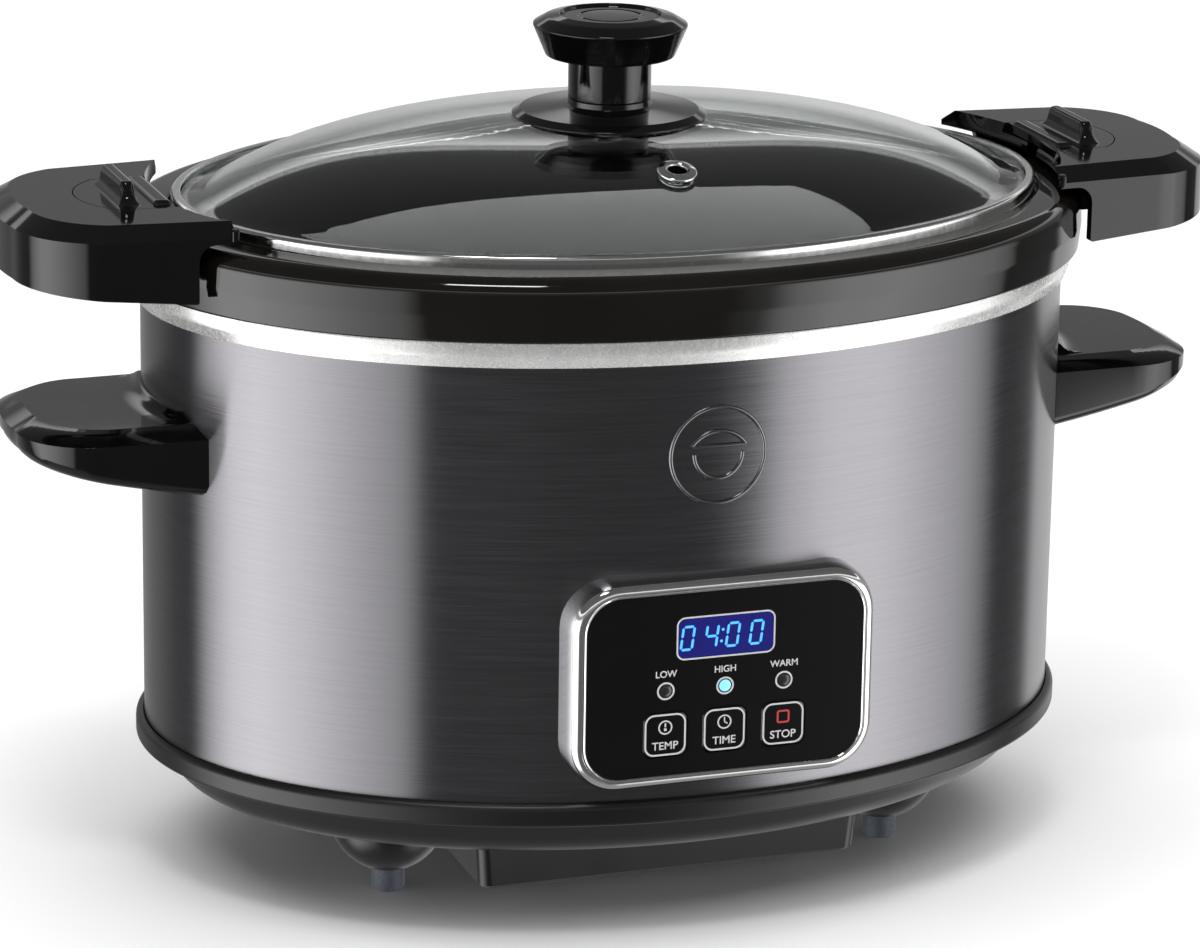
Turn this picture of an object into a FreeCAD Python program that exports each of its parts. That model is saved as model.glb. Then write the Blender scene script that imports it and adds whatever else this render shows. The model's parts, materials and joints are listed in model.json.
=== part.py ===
import FreeCAD, Part
import os

from FreeCAD import Vector

os.makedirs("parts", exist_ok=True)

# Oval slow cooker. Origin on the ground under the middle of the body, +Z up, front towards -Y.

# Body: an oval steel wall between a plastic base and a rolled metal rim.
shellHalfX = 165.0
shellHalfY = 120.0
shellThick = 0.8
wallHeight = 151.0
rimHeight = 11.0
rimOut = 3.0
fitGap = 0.2
moveGap = 0.3
past = 1.0

# Base tray, its four rounded foot bosses and the rubber feet.
footHeight = 10.0
footRadius = 5.8
footRound = 0.8
footStemRadius = 3.4
footStemLength = 6.0
footX = 92.0
footY = 42.0
bossHeight = 17.0
bossRadius = 19.0
trayHeight = 25.0
trayWall = 2.5
bandHeight = 8.0
bandOut = 3.0
tierIn = 3.5
tierSlope = 11.0
shellDrop = 5.0
slotCount = 7
slotLength = 26.0
slotWidth = 2.4
slotPitch = 7.0
slotRowX = 112.0
hatchInSide = 12.0
hatchInFront = 16.0
hatchInBack = 14.0

# Heating well: tapered liner, band heater, studs, sensor and fuse.
linerThick = 0.8
linerTopIn = 6.5
linerTaper = 12.0
linerFloorUp = 2.0
heaterThick = 2.0
heaterGap = 0.1
heaterLow = 12.0
heaterTall = 46.0
studRadius = 3.0
studX = 60.0
studY = 62.0
nutAcross = 10.0
nutHeight = 4.0
studTail = 2.0
sensorRadius = 6.0
sensorHeight = 10.0
sensorFlange = 3.0
sensorFlangeThick = 1.5
sensorX = 40.0
fuseRadius = 2.6
fuseLength = 16.0
fuseLeadRadius = 0.6

# Housing under the base that holds the power board.
housingHalfTop = 71.0
housingHalfLow = 65.0
housingFrontY = 78.0
housingBackY = 40.0
housingDraft = 3.0
housingWall = 2.0
housingGroundGap = 8.5
housingScrewIn = 8.0
housingScrewBack = 11.0
housingBossWall = 1.5
housingScrewDeep = 1.0
powerBoardX = 104.0
powerBoardY = 74.0
boardThick = 1.6
boardStandoff = 3.0
standoffRadius = 3.0
standoffIn = 8.0
relayX = 20.0
relayY = 16.0
relayZ = 7.5
relayAwayX = 10.0
relayAwayY = 20.0

# Cord gland in the rear of the base.
glandRadius = 7.0
glandBore = 3.6
glandFlange = 9.5
glandFlangeThick = 3.0
glandLength = 16.0
glandSeatDeep = 4.0

# Carry handles on the body.
carryReach = 50.0
carryHalfY = 42.0
carryTopDown = 32.5
carryRootIn = 23.0
carrySlopeIn = 16.5
carrySideIn = 1.0
carryEndY = 12.0
carryEndIn = 0.8
carryRootHeight = 25.5
carryTipHeight = 8.0
carryChamferIn = 7.0
carryChamferDown = 4.0
carryCornerIn = 26.0
carryCornerAlong = 0.22
carryCornerAcross = 0.72
backPlateThick = 1.0
backPlateHalfY = 30.0
backPlateHeight = 16.0

# Screws used everywhere.
screwRadius = 1.5
screwHead = 3.0
screwHeadThick = 1.5
screwLength = 10.0
carryScrewY = 20.0
carryScrewGap = 0.4

# Control panel on the front wall.
panelAboveSeam = 5.3
panelWidth = 109.0
panelCorner = 12.0
panelProud = 6.5
bezelWidth = 5.5
bezelChamfer = 2.0
bezelDeep = 24.0
bezelRecess = 1.0
fasciaThick = 2.5
windowWidth = 35.0
windowHeight = 15.0
windowCorner = 3.0
windowMargin = 8.3
windowToLamp = 10.2
moduleIn = 1.0
lampRadius = 2.4
lampRound = 0.5
lampProud = 0.1
lampToKey = 7.55
keySize = 15.5
keyCorner = 3.0
keySpace = 5.5
keyMargin = 6.4
keyTravel = 0.6
keyProud = 0.2
keyFlange = 1.2
keyFlangeThick = 0.8
housingBackIn = 8.0
panelWall = 1.2
switchSize = 6.0
panelBoardIn = 2.0
panelBoardBehind = 5.5
boardScrewIn = 5.5
boardScrewDeep = 3.0
boardScrewHead = 2.6

# Crock with its wide glazed rim and two lugs.
crockGap = 2.2
crockWall = 6.0
crockFloor = 6.5
crockRimHeight = 19.7
crockRimOut = 6.5
crockRimRound = 5.0
lugHalfY = 38.0
lugReach = 38.0
lugRootIn = 4.0
lugCorner = 10.0
lugBelowCap = 5.0
lugTall = 7.5
lidLandX = 17.5
lidLandY = 13.5
lidRecess = 3.0
lidGap = 1.5

# Locking handles over the lugs.
capReach = 52.0
capInnerGap = 6.5
capTipBack = 12.5
capTipOut = 4.0
capShoulderIn = 25.0
capShoulderOut = 12.0
capEndY = 18.0
capEndIn = 1.5
capCornerAlong = 0.68
capCornerAcross = 0.66
capTopUp = 9.0
capPlate = 6.0
capWall = 3.0
capChamferIn = 7.0
capChamferDown = 4.5
capSkirtInner = 27.0
capSkirtOuter = 20.0
capPostRadius = 4.0
capPostGap = 0.8
capPostIn = 34.0
retainerThick = 3.0
retainerHalfX = 8.0
retainerChamfer = 0.6

# Sliding latches that lock the lid.
latchHalfY = 23.0
latchLength = 29.0
latchInnerGap = 0.6
latchPocketReach = 30.0
latchRound = 7.0
latchThick = 3.0
latchTravel = 12.0
latchNoseWide = 6.0
latchNoseUp = 3.0
latchNoseHalfY = 20.0
latchNoseRound = 1.2
finMid = 14.5
finThick = 5.0
finBase = 18.0
finTop = 14.5
finHeight = 7.5
finRound = 1.6
stemHalfX = 3.0
stemHalfY = 5.0
stemFootOut = 2.0
stemFootThick = 2.0

# Lid: domed glass, pressed ring, vent grommet and knob.
ringTall = 7.0
ringWide = 7.0
ringRound = 1.2
glassBelowTop = 1.5
glassThick = 4.0
glassEdgeIn = 1.5
domeRise = 24.0
domeEdge = 6.5
ventY = 69.0
ventOuter = 6.8
ventBore = 3.2
ventProud = 1.6
ventRound = 1.0
ventSeat = 1.5
ventNeckWall = 1.2
ventClinchGap = 2.5
ventClinchThick = 2.0
ventClinchIn = 1.0
knobBaseRadius = 34.0
knobBaseTop = 15.5
knobBaseSink = 1.2
knobBaseEdge = 1.6
knobBaseRise = 7.0
knobBaseFlare = 4.0
knobBaseFlareUp = 4.4
knobStemRadius = 14.4
knobStemRise = 20.7
knobStemFlare = 2.0
knobDiscLow = 22.4
knobDiscWide = 27.0
knobDiscUp = 11.0
knobTopUp = 14.5
knobDish = 17.2
knobDishWall = 3.0
knobDishDeep = 3.0
knobInsertDown = 1.2
knobInsertRound = 0.6
knobRimRound = 1.0
knobBoltRadius = 3.0
knobBoltHead = 6.5
knobBoltHeadThick = 3.0
knobBoltGap = 1.0
washerRadius = 11.0
washerThick = 2.0

# Heights that follow from the sizes above.
floorZ = footHeight + bossHeight
seamZ = floorZ + trayHeight
shellTopZ = seamZ + wallHeight
linerFloorZ = seamZ + linerFloorUp
carryTopZ = shellTopZ - carryTopDown
linerTopZ = shellTopZ + rimHeight
crockRimLow = linerTopZ + moveGap
crockRimTop = crockRimLow + crockRimHeight
lidHalfX = shellHalfX + crockRimOut - lidLandX
lidHalfY = shellHalfY + crockRimOut - lidLandY
ringLow = crockRimTop - lidRecess + moveGap
glassEdgeZ = ringLow + ringTall - glassBelowTop
domeTopZ = glassEdgeZ + domeRise
domeHalfX = lidHalfX - glassEdgeIn - domeEdge
domeHalfY = lidHalfY - glassEdgeIn - domeEdge
knobStemTop = domeTopZ + knobStemRise
capTopZ = crockRimTop + capTopUp
capInnerX = lidHalfX + capInnerGap
capOuterX = shellHalfX + capReach
lugTopZ = capTopZ - capPlate - lugBelowCap
lugLowZ = lugTopZ - lugTall
linerTopX = shellHalfX - linerTopIn
linerTopY = shellHalfY - linerTopIn

# The handle's arms and posts stand clear of the lugs that they hold.
capPostY = lugHalfY + capPostGap + capPostRadius
capShoulderY = lugHalfY + capShoulderOut
capTipY = capShoulderY + capTipOut

# The panel stacks, from its foot: bezel, keys, lamps, display, bezel.
panelHeight = (2 * bezelWidth + keyMargin + keySize + lampToKey + windowToLamp + windowHeight + windowMargin)
panelFootZ = seamZ + panelAboveSeam
panelZ = panelFootZ + panelHeight / 2
keyZ = panelFootZ + bezelWidth + keyMargin + keySize / 2
lampZ = keyZ + keySize / 2 + lampToKey
windowZ = lampZ + windowToLamp + windowHeight / 2
keyPitch = keySize + keySpace
panelY = -(shellHalfY + panelProud)
faceWidth = panelWidth - 2 * bezelWidth
faceHeight = panelHeight - 2 * bezelWidth
faceCorner = panelCorner - bezelWidth


def box(x0, x1, y0, y1, z0, z1):
    return Part.makeBox(x1 - x0, y1 - y0, z1 - z0, Vector(x0, y0, z0))


def post(radius, z0, z1, x=0.0, y=0.0):
    return Part.makeCylinder(radius, z1 - z0, Vector(x, y, z0))


def rodY(radius, y0, y1, x, z):
    return Part.makeCylinder(radius, y1 - y0, Vector(x, y0, z), Vector(0, 1, 0))


def rodX(radius, x0, x1, y, z):
    return Part.makeCylinder(radius, x1 - x0, Vector(x0, y, z), Vector(1, 0, 0))


def ovalWire(halfX, halfY, z):
    return Part.Wire(Part.Ellipse(Vector(0, 0, z), halfX, halfY).toShape())


def ovalDisc(halfX, halfY, z0, z1):
    return Part.Face(ovalWire(halfX, halfY, z0)).extrude(Vector(0, 0, z1 - z0))


def ovalTaper(low, high):
    return Part.makeLoft([ovalWire(*low), ovalWire(*high)], True, True)


def outline(steps):
    # Each step is a straight run to a point, or an arc through one point to the next.
    edges = []
    here = Vector(*steps[0])
    for step in steps[1:]:
        if len(step) == 2:
            middle = Vector(*step[0])
            end = Vector(*step[1])
            edges.append(Part.Arc(here, middle, end).toShape())
        else:
            end = Vector(*step)
            edges.append(Part.LineSegment(here, end).toShape())
        here = end
    return Part.Wire(edges)


def sideCut(points, halfY):
    # A profile in X and Z, extruded both ways along Y.
    steps = [(x, -halfY, z) for x, z in points]
    wire = Part.makePolygon([Vector(*p) for p in steps + steps[:1]])
    return Part.Face(wire).extrude(Vector(0, 2 * halfY, 0))


def panelBlock(width, height, corner, y0, y1, midX=0.0, midZ=None):
    # A block with four rounded corners, seen from the front.
    midZ = panelZ if midZ is None else midZ
    block = box(midX - width / 2, midX + width / 2, y0, y1, midZ - height / 2, midZ + height / 2)
    edges = [e for e in block.Edges if abs(e.BoundBox.YLength - (y1 - y0)) < 1e-6]
    return block.makeFillet(corner, edges)


def screwUp(x, y, headZ, length):
    # A screw driven upwards, its head underneath.
    head = post(screwHead, headZ, headZ + screwHeadThick, x, y)
    return head.fuse(post(screwRadius, headZ + screwHeadThick, headZ + screwHeadThick + length, x, y))


def mirrored(shape):
    return shape.mirror(Vector(0, 0, 0), Vector(1, 0, 0))


def linerHalf(z, extra):
    # Half sizes of the liner's outer face at a height.
    share = (linerTopZ - z) / (linerTopZ - linerFloorZ)
    return (linerTopX + linerThick - linerTaper * share + extra,
            linerTopY + linerThick - linerTaper * share + extra, z)


def tierHalf(z, extra):
    share = (seamZ - bandHeight - z) / (seamZ - bandHeight - floorZ)
    return (shellHalfX - tierIn - tierSlope * share + extra,
            shellHalfY - tierIn - tierSlope * share + extra, z)


def footPlaces():
    return [(sx * footX, sy * footY) for sx in (-1, 1) for sy in (-1, 1)]


def baseTray():
    bandLow = seamZ - bandHeight
    under = floorZ - past
    above = floorZ + trayWall + past
    tray = ovalDisc(shellHalfX + bandOut, shellHalfY + bandOut, bandLow, seamZ)
    tray = tray.fuse(ovalTaper(tierHalf(floorZ, 0), tierHalf(bandLow, 0)))
    for x, y in footPlaces():
        ball = Part.makeSphere(bossRadius, Vector(x, y, floorZ + past))
        slab = box(x - 2 * bossRadius, x + 2 * bossRadius, y - 2 * bossRadius, y + 2 * bossRadius,
                   footHeight, floorZ + trayWall)
        tray = tray.fuse(ball.common(slab))
    tray = tray.cut(ovalTaper(tierHalf(floorZ + trayWall, -trayWall), tierHalf(seamZ - shellDrop, -trayWall)))
    tray = tray.cut(ovalDisc(shellHalfX + fitGap, shellHalfY + fitGap, seamZ - shellDrop, seamZ + past))
    for x, y in footPlaces():
        tray = tray.cut(post(footStemRadius, footHeight - past, footHeight + footStemLength, x, y))
    tray = tray.cut(box(-housingHalfLow + hatchInSide, housingHalfLow - hatchInSide,
                        -housingFrontY + hatchInFront, housingBackY - hatchInBack, under, above))
    for x, y in studPlaces():
        tray = tray.cut(post(studRadius + fitGap, under, above, x, y))
    for x, y in housingScrewPlaces():
        tray = tray.cut(post(screwRadius, under, above, x, y))
    for side in (-1, 1):
        for row in range(slotCount):
            y = (row - (slotCount - 1) / 2) * slotPitch
            middle = side * slotRowX
            tray = tray.cut(box(middle - slotLength / 2, middle + slotLength / 2,
                                y - slotWidth / 2, y + slotWidth / 2, under, above))
    return tray.cut(rodY(glandRadius + fitGap, housingBackY, shellHalfY, 0, glandHeight()))


def glandHeight():
    return floorZ + trayWall + glandFlange


def cordGland():
    wallY = tierHalf(glandHeight(), 0)[1]
    gland = rodY(glandRadius, wallY - glandLength + glandFlangeThick, wallY + glandFlangeThick, 0, glandHeight())
    flange = rodY(glandFlange, wallY - glandSeatDeep, wallY + glandFlangeThick, 0, glandHeight())
    outside = flange.cut(ovalTaper(tierHalf(floorZ, 0), tierHalf(seamZ - bandHeight, 0)))
    outside = outside.cut(ovalDisc(shellHalfX + bandOut, shellHalfY + bandOut, seamZ - bandHeight, seamZ))
    return gland.fuse(outside).cut(rodY(glandBore, 0, shellHalfY + glandLength, 0, glandHeight()))


def rubberFoot(x, y):
    foot = post(footRadius, 0, footHeight, x, y)
    low = [e for e in foot.Edges if e.BoundBox.ZMax < 1e-6]
    foot = foot.makeFillet(footRound, low)
    return foot.fuse(post(footStemRadius, footHeight, footHeight + footStemLength, x, y))


def studPlaces():
    return [(-studX, studY), (studX, studY)]


def outerShell():
    top = linerTopZ - linerThick
    low = seamZ - shellDrop
    shell = ovalDisc(shellHalfX, shellHalfY, low, top)
    shell = shell.cut(ovalDisc(shellHalfX - shellThick, shellHalfY - shellThick, low - past, top + past))
    opening = panelBlock(faceWidth, faceHeight, faceCorner, panelY, -shellHalfY + bezelDeep)
    shell = shell.cut(opening)
    for y in (-carryScrewY, carryScrewY):
        shell = shell.cut(rodX(screwRadius + fitGap, -shellHalfX, shellHalfX, y, carryScrewZ()))
    return shell


def linerRim():
    # The liner's edge, rolled outwards and down over the top of the steel wall.
    rim = ovalDisc(shellHalfX + rimOut, shellHalfY + rimOut, shellTopZ, linerTopZ)
    skirtIn = rimOut - linerThick
    return rim.cut(ovalDisc(shellHalfX + skirtIn, shellHalfY + skirtIn, shellTopZ - past, linerTopZ - linerThick))


def heatingLiner():
    outer = ovalTaper(linerHalf(linerFloorZ, 0), linerHalf(linerTopZ, 0))
    liner = linerRim().fuse(outer)
    inner = ovalTaper(linerHalf(linerFloorZ + linerThick, -linerThick), linerHalf(linerTopZ + 0.01, -linerThick))
    return liner.cut(inner).removeSplitter()


def heaterBand():
    low = linerFloorZ + heaterLow
    high = low + heaterTall
    band = ovalTaper(linerHalf(low, heaterGap + heaterThick), linerHalf(high, heaterGap + heaterThick))
    return band.cut(ovalTaper(linerHalf(low, heaterGap), linerHalf(high, heaterGap)))


def linerStuds():
    low = floorZ - nutHeight - studTail
    return Part.makeCompound([post(studRadius, low, linerFloorZ, x, y) for x, y in studPlaces()])


def baseNuts():
    nuts = []
    for x, y in studPlaces():
        corners = []
        for turn in range(7):
            spoke = FreeCAD.Rotation(Vector(0, 0, 1), 60 * turn).multVec(Vector(nutAcross / 2, 0, 0))
            corners.append(spoke + Vector(x, y, floorZ - nutHeight))
        block = Part.Face(Part.makePolygon(corners)).extrude(Vector(0, 0, nutHeight))
        nuts.append(block.cut(post(studRadius, floorZ - nutHeight - past, floorZ + past, x, y)))
    return Part.makeCompound(nuts)


def temperatureSensor():
    low = linerFloorZ - sensorHeight
    body = post(sensorRadius, low, linerFloorZ, sensorX)
    return body.fuse(post(sensorRadius + sensorFlange, low, low + sensorFlangeThick, sensorX))


def thermalFuse():
    z = linerFloorZ + heaterLow + heaterTall / 2
    y = linerHalf(z, heaterGap + heaterThick)[1] + fuseRadius + fitGap
    fuse = rodX(fuseRadius, -fuseLength / 2, fuseLength / 2, y, z)
    return fuse.fuse(rodX(fuseLeadRadius, -fuseLength, fuseLength, y, z))


def housingBlock(shrink, lowZ, highZ):
    # Drafted block, wide at the top where it meets the base.
    def frame(half, front, back, z):
        return Part.makePolygon([Vector(-half, -front, z), Vector(half, -front, z), Vector(half, back, z),
                                 Vector(-half, back, z), Vector(-half, -front, z)])
    low = frame(housingHalfLow - shrink, housingFrontY - housingDraft - shrink,
                housingBackY - housingDraft - shrink, lowZ)
    high = frame(housingHalfTop - shrink, housingFrontY - shrink, housingBackY - shrink, highZ)
    return Part.makeLoft([low, high], True, True)


def housingScrewPlaces():
    rows = (-housingFrontY + housingScrewBack, housingBackY - housingScrewBack)
    return [(side * (housingHalfLow - housingScrewIn), y) for side in (-1, 1) for y in rows]


def undersideHousing():
    housing = housingBlock(0, housingGroundGap, floorZ)
    housing = housing.cut(housingBlock(housingWall, housingGroundGap + housingWall, floorZ + past))
    low = housingGroundGap - past
    sinkZ = housingGroundGap + housingScrewDeep + screwHeadThick
    for x, y in housingScrewPlaces():
        housing = housing.fuse(post(screwHead + housingBossWall, housingGroundGap + fitGap, floorZ, x, y))
        housing = housing.cut(post(screwHead + fitGap, low, sinkZ, x, y))
        housing = housing.cut(post(screwRadius + fitGap, low, floorZ + past, x, y))
    return housing


def housingScrews():
    headZ = housingGroundGap + housingScrewDeep
    length = floorZ + trayWall - headZ - screwHeadThick
    return Part.makeCompound([screwUp(x, y, headZ, length) for x, y in housingScrewPlaces()])


def powerBoardZ():
    return housingGroundGap + housingWall + boardStandoff


def powerBoard():
    middle = (housingBackY - housingFrontY) / 2
    z = powerBoardZ()
    board = box(-powerBoardX / 2, powerBoardX / 2, middle - powerBoardY / 2, middle + powerBoardY / 2,
                z, z + boardThick)
    for sx in (-1, 1):
        for sy in (-1, 1):
            x = sx * (powerBoardX / 2 - standoffIn)
            y = middle + sy * (powerBoardY / 2 - standoffIn)
            board = board.fuse(post(standoffRadius, z - boardStandoff, z, x, y))
    return board


def powerRelay():
    z = powerBoardZ() + boardThick
    return box(-relayAwayX - relayX, -relayAwayX, -relayAwayY - relayY, -relayAwayY, z, z + relayZ)


def carryScrewZ():
    return carryTopZ - carryRootHeight / 2


def carryPlan(inset, z):
    rootX = shellHalfX - carryRootIn
    tipX = shellHalfX + carryReach - inset
    side = carryHalfY - inset
    shoulderX = tipX - carryCornerIn
    endX = tipX - carryEndIn
    endY = carryEndY
    cornerX = tipX - carryCornerIn * carryCornerAlong
    cornerY = side * carryCornerAcross
    shoulderY = side - carrySideIn
    return outline([
        (rootX, -side, z), (shoulderX, -shoulderY, z), ((cornerX, -cornerY, z), (endX, -endY, z)),
        ((tipX, 0, z), (endX, endY, z)), ((cornerX, cornerY, z), (shoulderX, shoulderY, z)),
        (rootX, side, z), (rootX, -side, z)])


def carryHandle():
    edgeZ = carryTopZ - carryChamferDown
    lowZ = carryTopZ - carryRootHeight
    plan = Part.Face(carryPlan(0, lowZ)).extrude(Vector(0, 0, edgeZ - lowZ))
    cap = Part.makeLoft([carryPlan(0, edgeZ), carryPlan(carryChamferIn, carryTopZ)], True, True)
    tipX = shellHalfX + carryReach
    tipLowZ = edgeZ - carryTipHeight
    below = lowZ - past
    under = sideCut([(0, below), (tipX + past, below), (tipX + past, tipLowZ), (tipX, tipLowZ),
                     (shellHalfX - carrySlopeIn, lowZ), (0, lowZ)], 2 * carryHalfY)
    handle = plan.fuse(cap).cut(under)
    handle = handle.cut(ovalDisc(shellHalfX, shellHalfY, below, carryTopZ + past))
    for y in (-carryScrewY, carryScrewY):
        handle = handle.cut(rodX(screwRadius, 0, shellHalfX + screwLength, y, carryScrewZ()))
    return handle.removeSplitter()


def carryBackPlate():
    # Steel strip inside the wall that spreads the pull of the handle screws.
    outer = shellHalfX - shellThick
    ring = ovalDisc(outer, shellHalfY - shellThick, carryScrewZ() - backPlateHeight / 2,
                    carryScrewZ() + backPlateHeight / 2)
    ring = ring.cut(ovalDisc(outer - backPlateThick, shellHalfY - shellThick - backPlateThick,
                             carryScrewZ() - backPlateHeight, carryScrewZ() + backPlateHeight))
    plate = ring.common(box(0, shellHalfX, -backPlateHalfY, backPlateHalfY, 0, linerTopZ))
    for y in (-carryScrewY, carryScrewY):
        plate = plate.cut(rodX(screwRadius + fitGap, 0, shellHalfX, y, carryScrewZ()))
    return plate


def carryScrews():
    screws = []
    headEdgeY = carryScrewY + screwHead
    wallX = shellHalfX * (1 - (headEdgeY / shellHalfY) ** 2) ** 0.5
    headX = wallX - shellThick - backPlateThick - screwHeadThick - carryScrewGap
    for y in (-carryScrewY, carryScrewY):
        head = rodX(screwHead, headX, headX + screwHeadThick, y, carryScrewZ())
        screw = head.fuse(rodX(screwRadius, headX + screwHeadThick, shellHalfX + screwLength - past, y, carryScrewZ()))
        screws += [screw, mirrored(screw)]
    return Part.makeCompound(screws)


def controlBezel():
    backY = -shellHalfY + bezelDeep
    bezel = panelBlock(panelWidth, panelHeight, panelCorner, panelY, backY)
    front = [e for e in bezel.Edges if e.BoundBox.YMax < panelY + 1e-6]
    bezel = bezel.makeChamfer(bezelChamfer, front)
    bezel = bezel.cut(panelBlock(faceWidth, faceHeight, faceCorner, panelY - past, backY + past))
    return bezel.cut(ovalDisc(shellHalfX, shellHalfY, 0, linerTopZ))


def fasciaY():
    return panelY + bezelRecess


def keyPlaces():
    return [(-keyPitch, keyZ), (0.0, keyZ), (keyPitch, keyZ)]


def controlFascia():
    y = fasciaY()
    front = y - past
    back = y + fasciaThick + past
    keyHole = keySize + 2 * moveGap
    fascia = panelBlock(faceWidth, faceHeight, faceCorner, y, y + fasciaThick)
    fascia = fascia.cut(panelBlock(windowWidth, windowHeight, windowCorner, front, back, 0, windowZ))
    for x, z in keyPlaces():
        fascia = fascia.cut(panelBlock(keyHole, keyHole, keyCorner + moveGap, front, back, x, z))
        fascia = fascia.cut(rodY(lampRadius, front, back, x, lampZ))
    return fascia


def displayWindow():
    return panelBlock(windowWidth, windowHeight, windowCorner, fasciaY(), fasciaY() + fasciaThick, 0, windowZ)


def panelBoardY():
    return fasciaY() + fasciaThick + panelBoardBehind


def displayModule():
    return panelBlock(windowWidth - 2 * moduleIn, windowHeight - 2 * moduleIn, windowCorner - moduleIn,
                      fasciaY() + fasciaThick, panelBoardY(), 0, windowZ)


def indicatorLamp(x):
    lens = rodY(lampRadius, fasciaY() - lampProud, panelBoardY(), x, lampZ)
    front = [e for e in lens.Edges if e.BoundBox.YMax < fasciaY()]
    return lens.makeFillet(lampRound, front)


def keyBackY():
    return fasciaY() + fasciaThick + moveGap + keyFlangeThick


def panelKey(x, z):
    cap = panelBlock(keySize, keySize, keyCorner, fasciaY() - keyProud, keyBackY(), x, z)
    wide = keySize + 2 * keyFlange
    return cap.fuse(panelBlock(wide, wide, keyCorner, keyBackY() - keyFlangeThick, keyBackY(), x, z))


def keySwitches():
    switches = []
    for x, z in keyPlaces():
        half = switchSize / 2
        top = keyBackY() + keyTravel + moveGap
        switches.append(box(x - half, x + half, top, panelBoardY(), z - half, z + half))
    return Part.makeCompound(switches)


def boardScrewPlaces():
    halfX = faceWidth / 2 - boardScrewIn
    halfZ = faceHeight / 2 - boardScrewIn
    return [(sx * halfX, panelZ + sz * halfZ) for sx in (-1, 1) for sz in (-1, 1)]


def controlBoard():
    y = panelBoardY()
    board = panelBlock(faceWidth - 2 * panelBoardIn, faceHeight - 2 * panelBoardIn, faceCorner - panelBoardIn,
                       y, y + boardThick)
    for x, z in boardScrewPlaces():
        board = board.cut(rodY(screwRadius + fitGap, y - past, y + boardThick + past, x, z))
    return board


def controlHousing():
    # A shallow tub behind the fascia that carries the board.
    front = fasciaY() + fasciaThick
    back = panelY + panelProud + housingBackIn
    tub = panelBlock(faceWidth, faceHeight, faceCorner, front, back)
    tub = tub.cut(panelBlock(faceWidth - 2 * panelWall, faceHeight - 2 * panelWall, faceCorner - panelWall,
                             front - past, back - panelWall))
    pillarBack = back - panelWall / 2
    for x, z in boardScrewPlaces():
        tub = tub.fuse(rodY(screwRadius + panelWall, panelBoardY() + boardThick, pillarBack, x, z))
        tub = tub.cut(rodY(screwRadius, panelBoardY(), pillarBack, x, z))
    return tub


def boardScrews():
    screws = []
    y = panelBoardY()
    for x, z in boardScrewPlaces():
        head = rodY(boardScrewHead, y - screwHeadThick, y, x, z)
        screws.append(head.fuse(rodY(screwRadius, y, y + boardThick + boardScrewDeep, x, z)))
    return Part.makeCompound(screws)


def crockRim():
    rimX = shellHalfX + crockRimOut
    rimY = shellHalfY + crockRimOut
    rim = ovalDisc(rimX, rimY, crockRimLow, crockRimTop)
    return rim.makeFillet(crockRimRound, rim.Edges[:])


def crockLug(side):
    rootX = linerTopX - lugRootIn
    endX = shellHalfX + lugReach
    lug = box(rootX, endX, -lugHalfY, lugHalfY, lugLowZ, lugTopZ)
    edges = [e for e in lug.Edges if e.BoundBox.XMin > endX - 1e-6 and e.BoundBox.ZLength > lugTall / 2]
    lug = lug.makeFillet(lugCorner, edges)
    return lug if side > 0 else mirrored(lug)


def crock():
    gap = -linerThick - crockGap
    floor = linerFloorZ + linerThick + crockGap
    body = ovalTaper(linerHalf(floor, gap), linerHalf(crockRimTop - crockRimRound, gap))
    whole = crockRim().fuse(body)
    for side in (-1, 1):
        whole = whole.fuse(crockLug(side))
    cavity = ovalTaper(linerHalf(floor + crockFloor, gap - crockWall), linerHalf(crockRimTop + past, gap - crockWall))
    whole = whole.cut(cavity)
    return whole.cut(ovalDisc(lidHalfX + lidGap, lidHalfY + lidGap, crockRimTop - lidRecess, crockRimTop + past))


def capPlan(inset, z):
    # Crescent outline of a locking handle: its inner side follows the lid.
    tipX = capInnerX - capTipBack
    tipY = capTipY - inset
    shoulderX = capOuterX - capShoulderIn - inset / 2
    shoulderY = capShoulderY - inset
    endX = capOuterX - capEndIn - inset
    endY = capEndY - inset / 2
    cornerX = shoulderX + capCornerAlong * (endX - shoulderX)
    cornerY = endY + capCornerAcross * (shoulderY - endY)
    return outline([
        (tipX, -tipY, z), (shoulderX, -shoulderY, z), ((cornerX, -cornerY, z), (endX, -endY, z)),
        ((capOuterX - inset, 0, z), (endX, endY, z)), ((cornerX, cornerY, z), (shoulderX, shoulderY, z)),
        (tipX, tipY, z), ((capInnerX, 0, z), (tipX, -tipY, z))])


def latchPlan(grow, reach, z):
    # Plate of a latch: straight sides and a rounded outer end.
    side = latchHalfY + grow
    innerX = capInnerX + latchInnerGap - reach
    outerX = capInnerX + latchLength + grow
    return outline([(innerX, -side, z), (outerX - latchRound, -side, z),
                    ((outerX, 0, z), (outerX - latchRound, side, z)), (innerX, side, z), (innerX, -side, z)])


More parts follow.
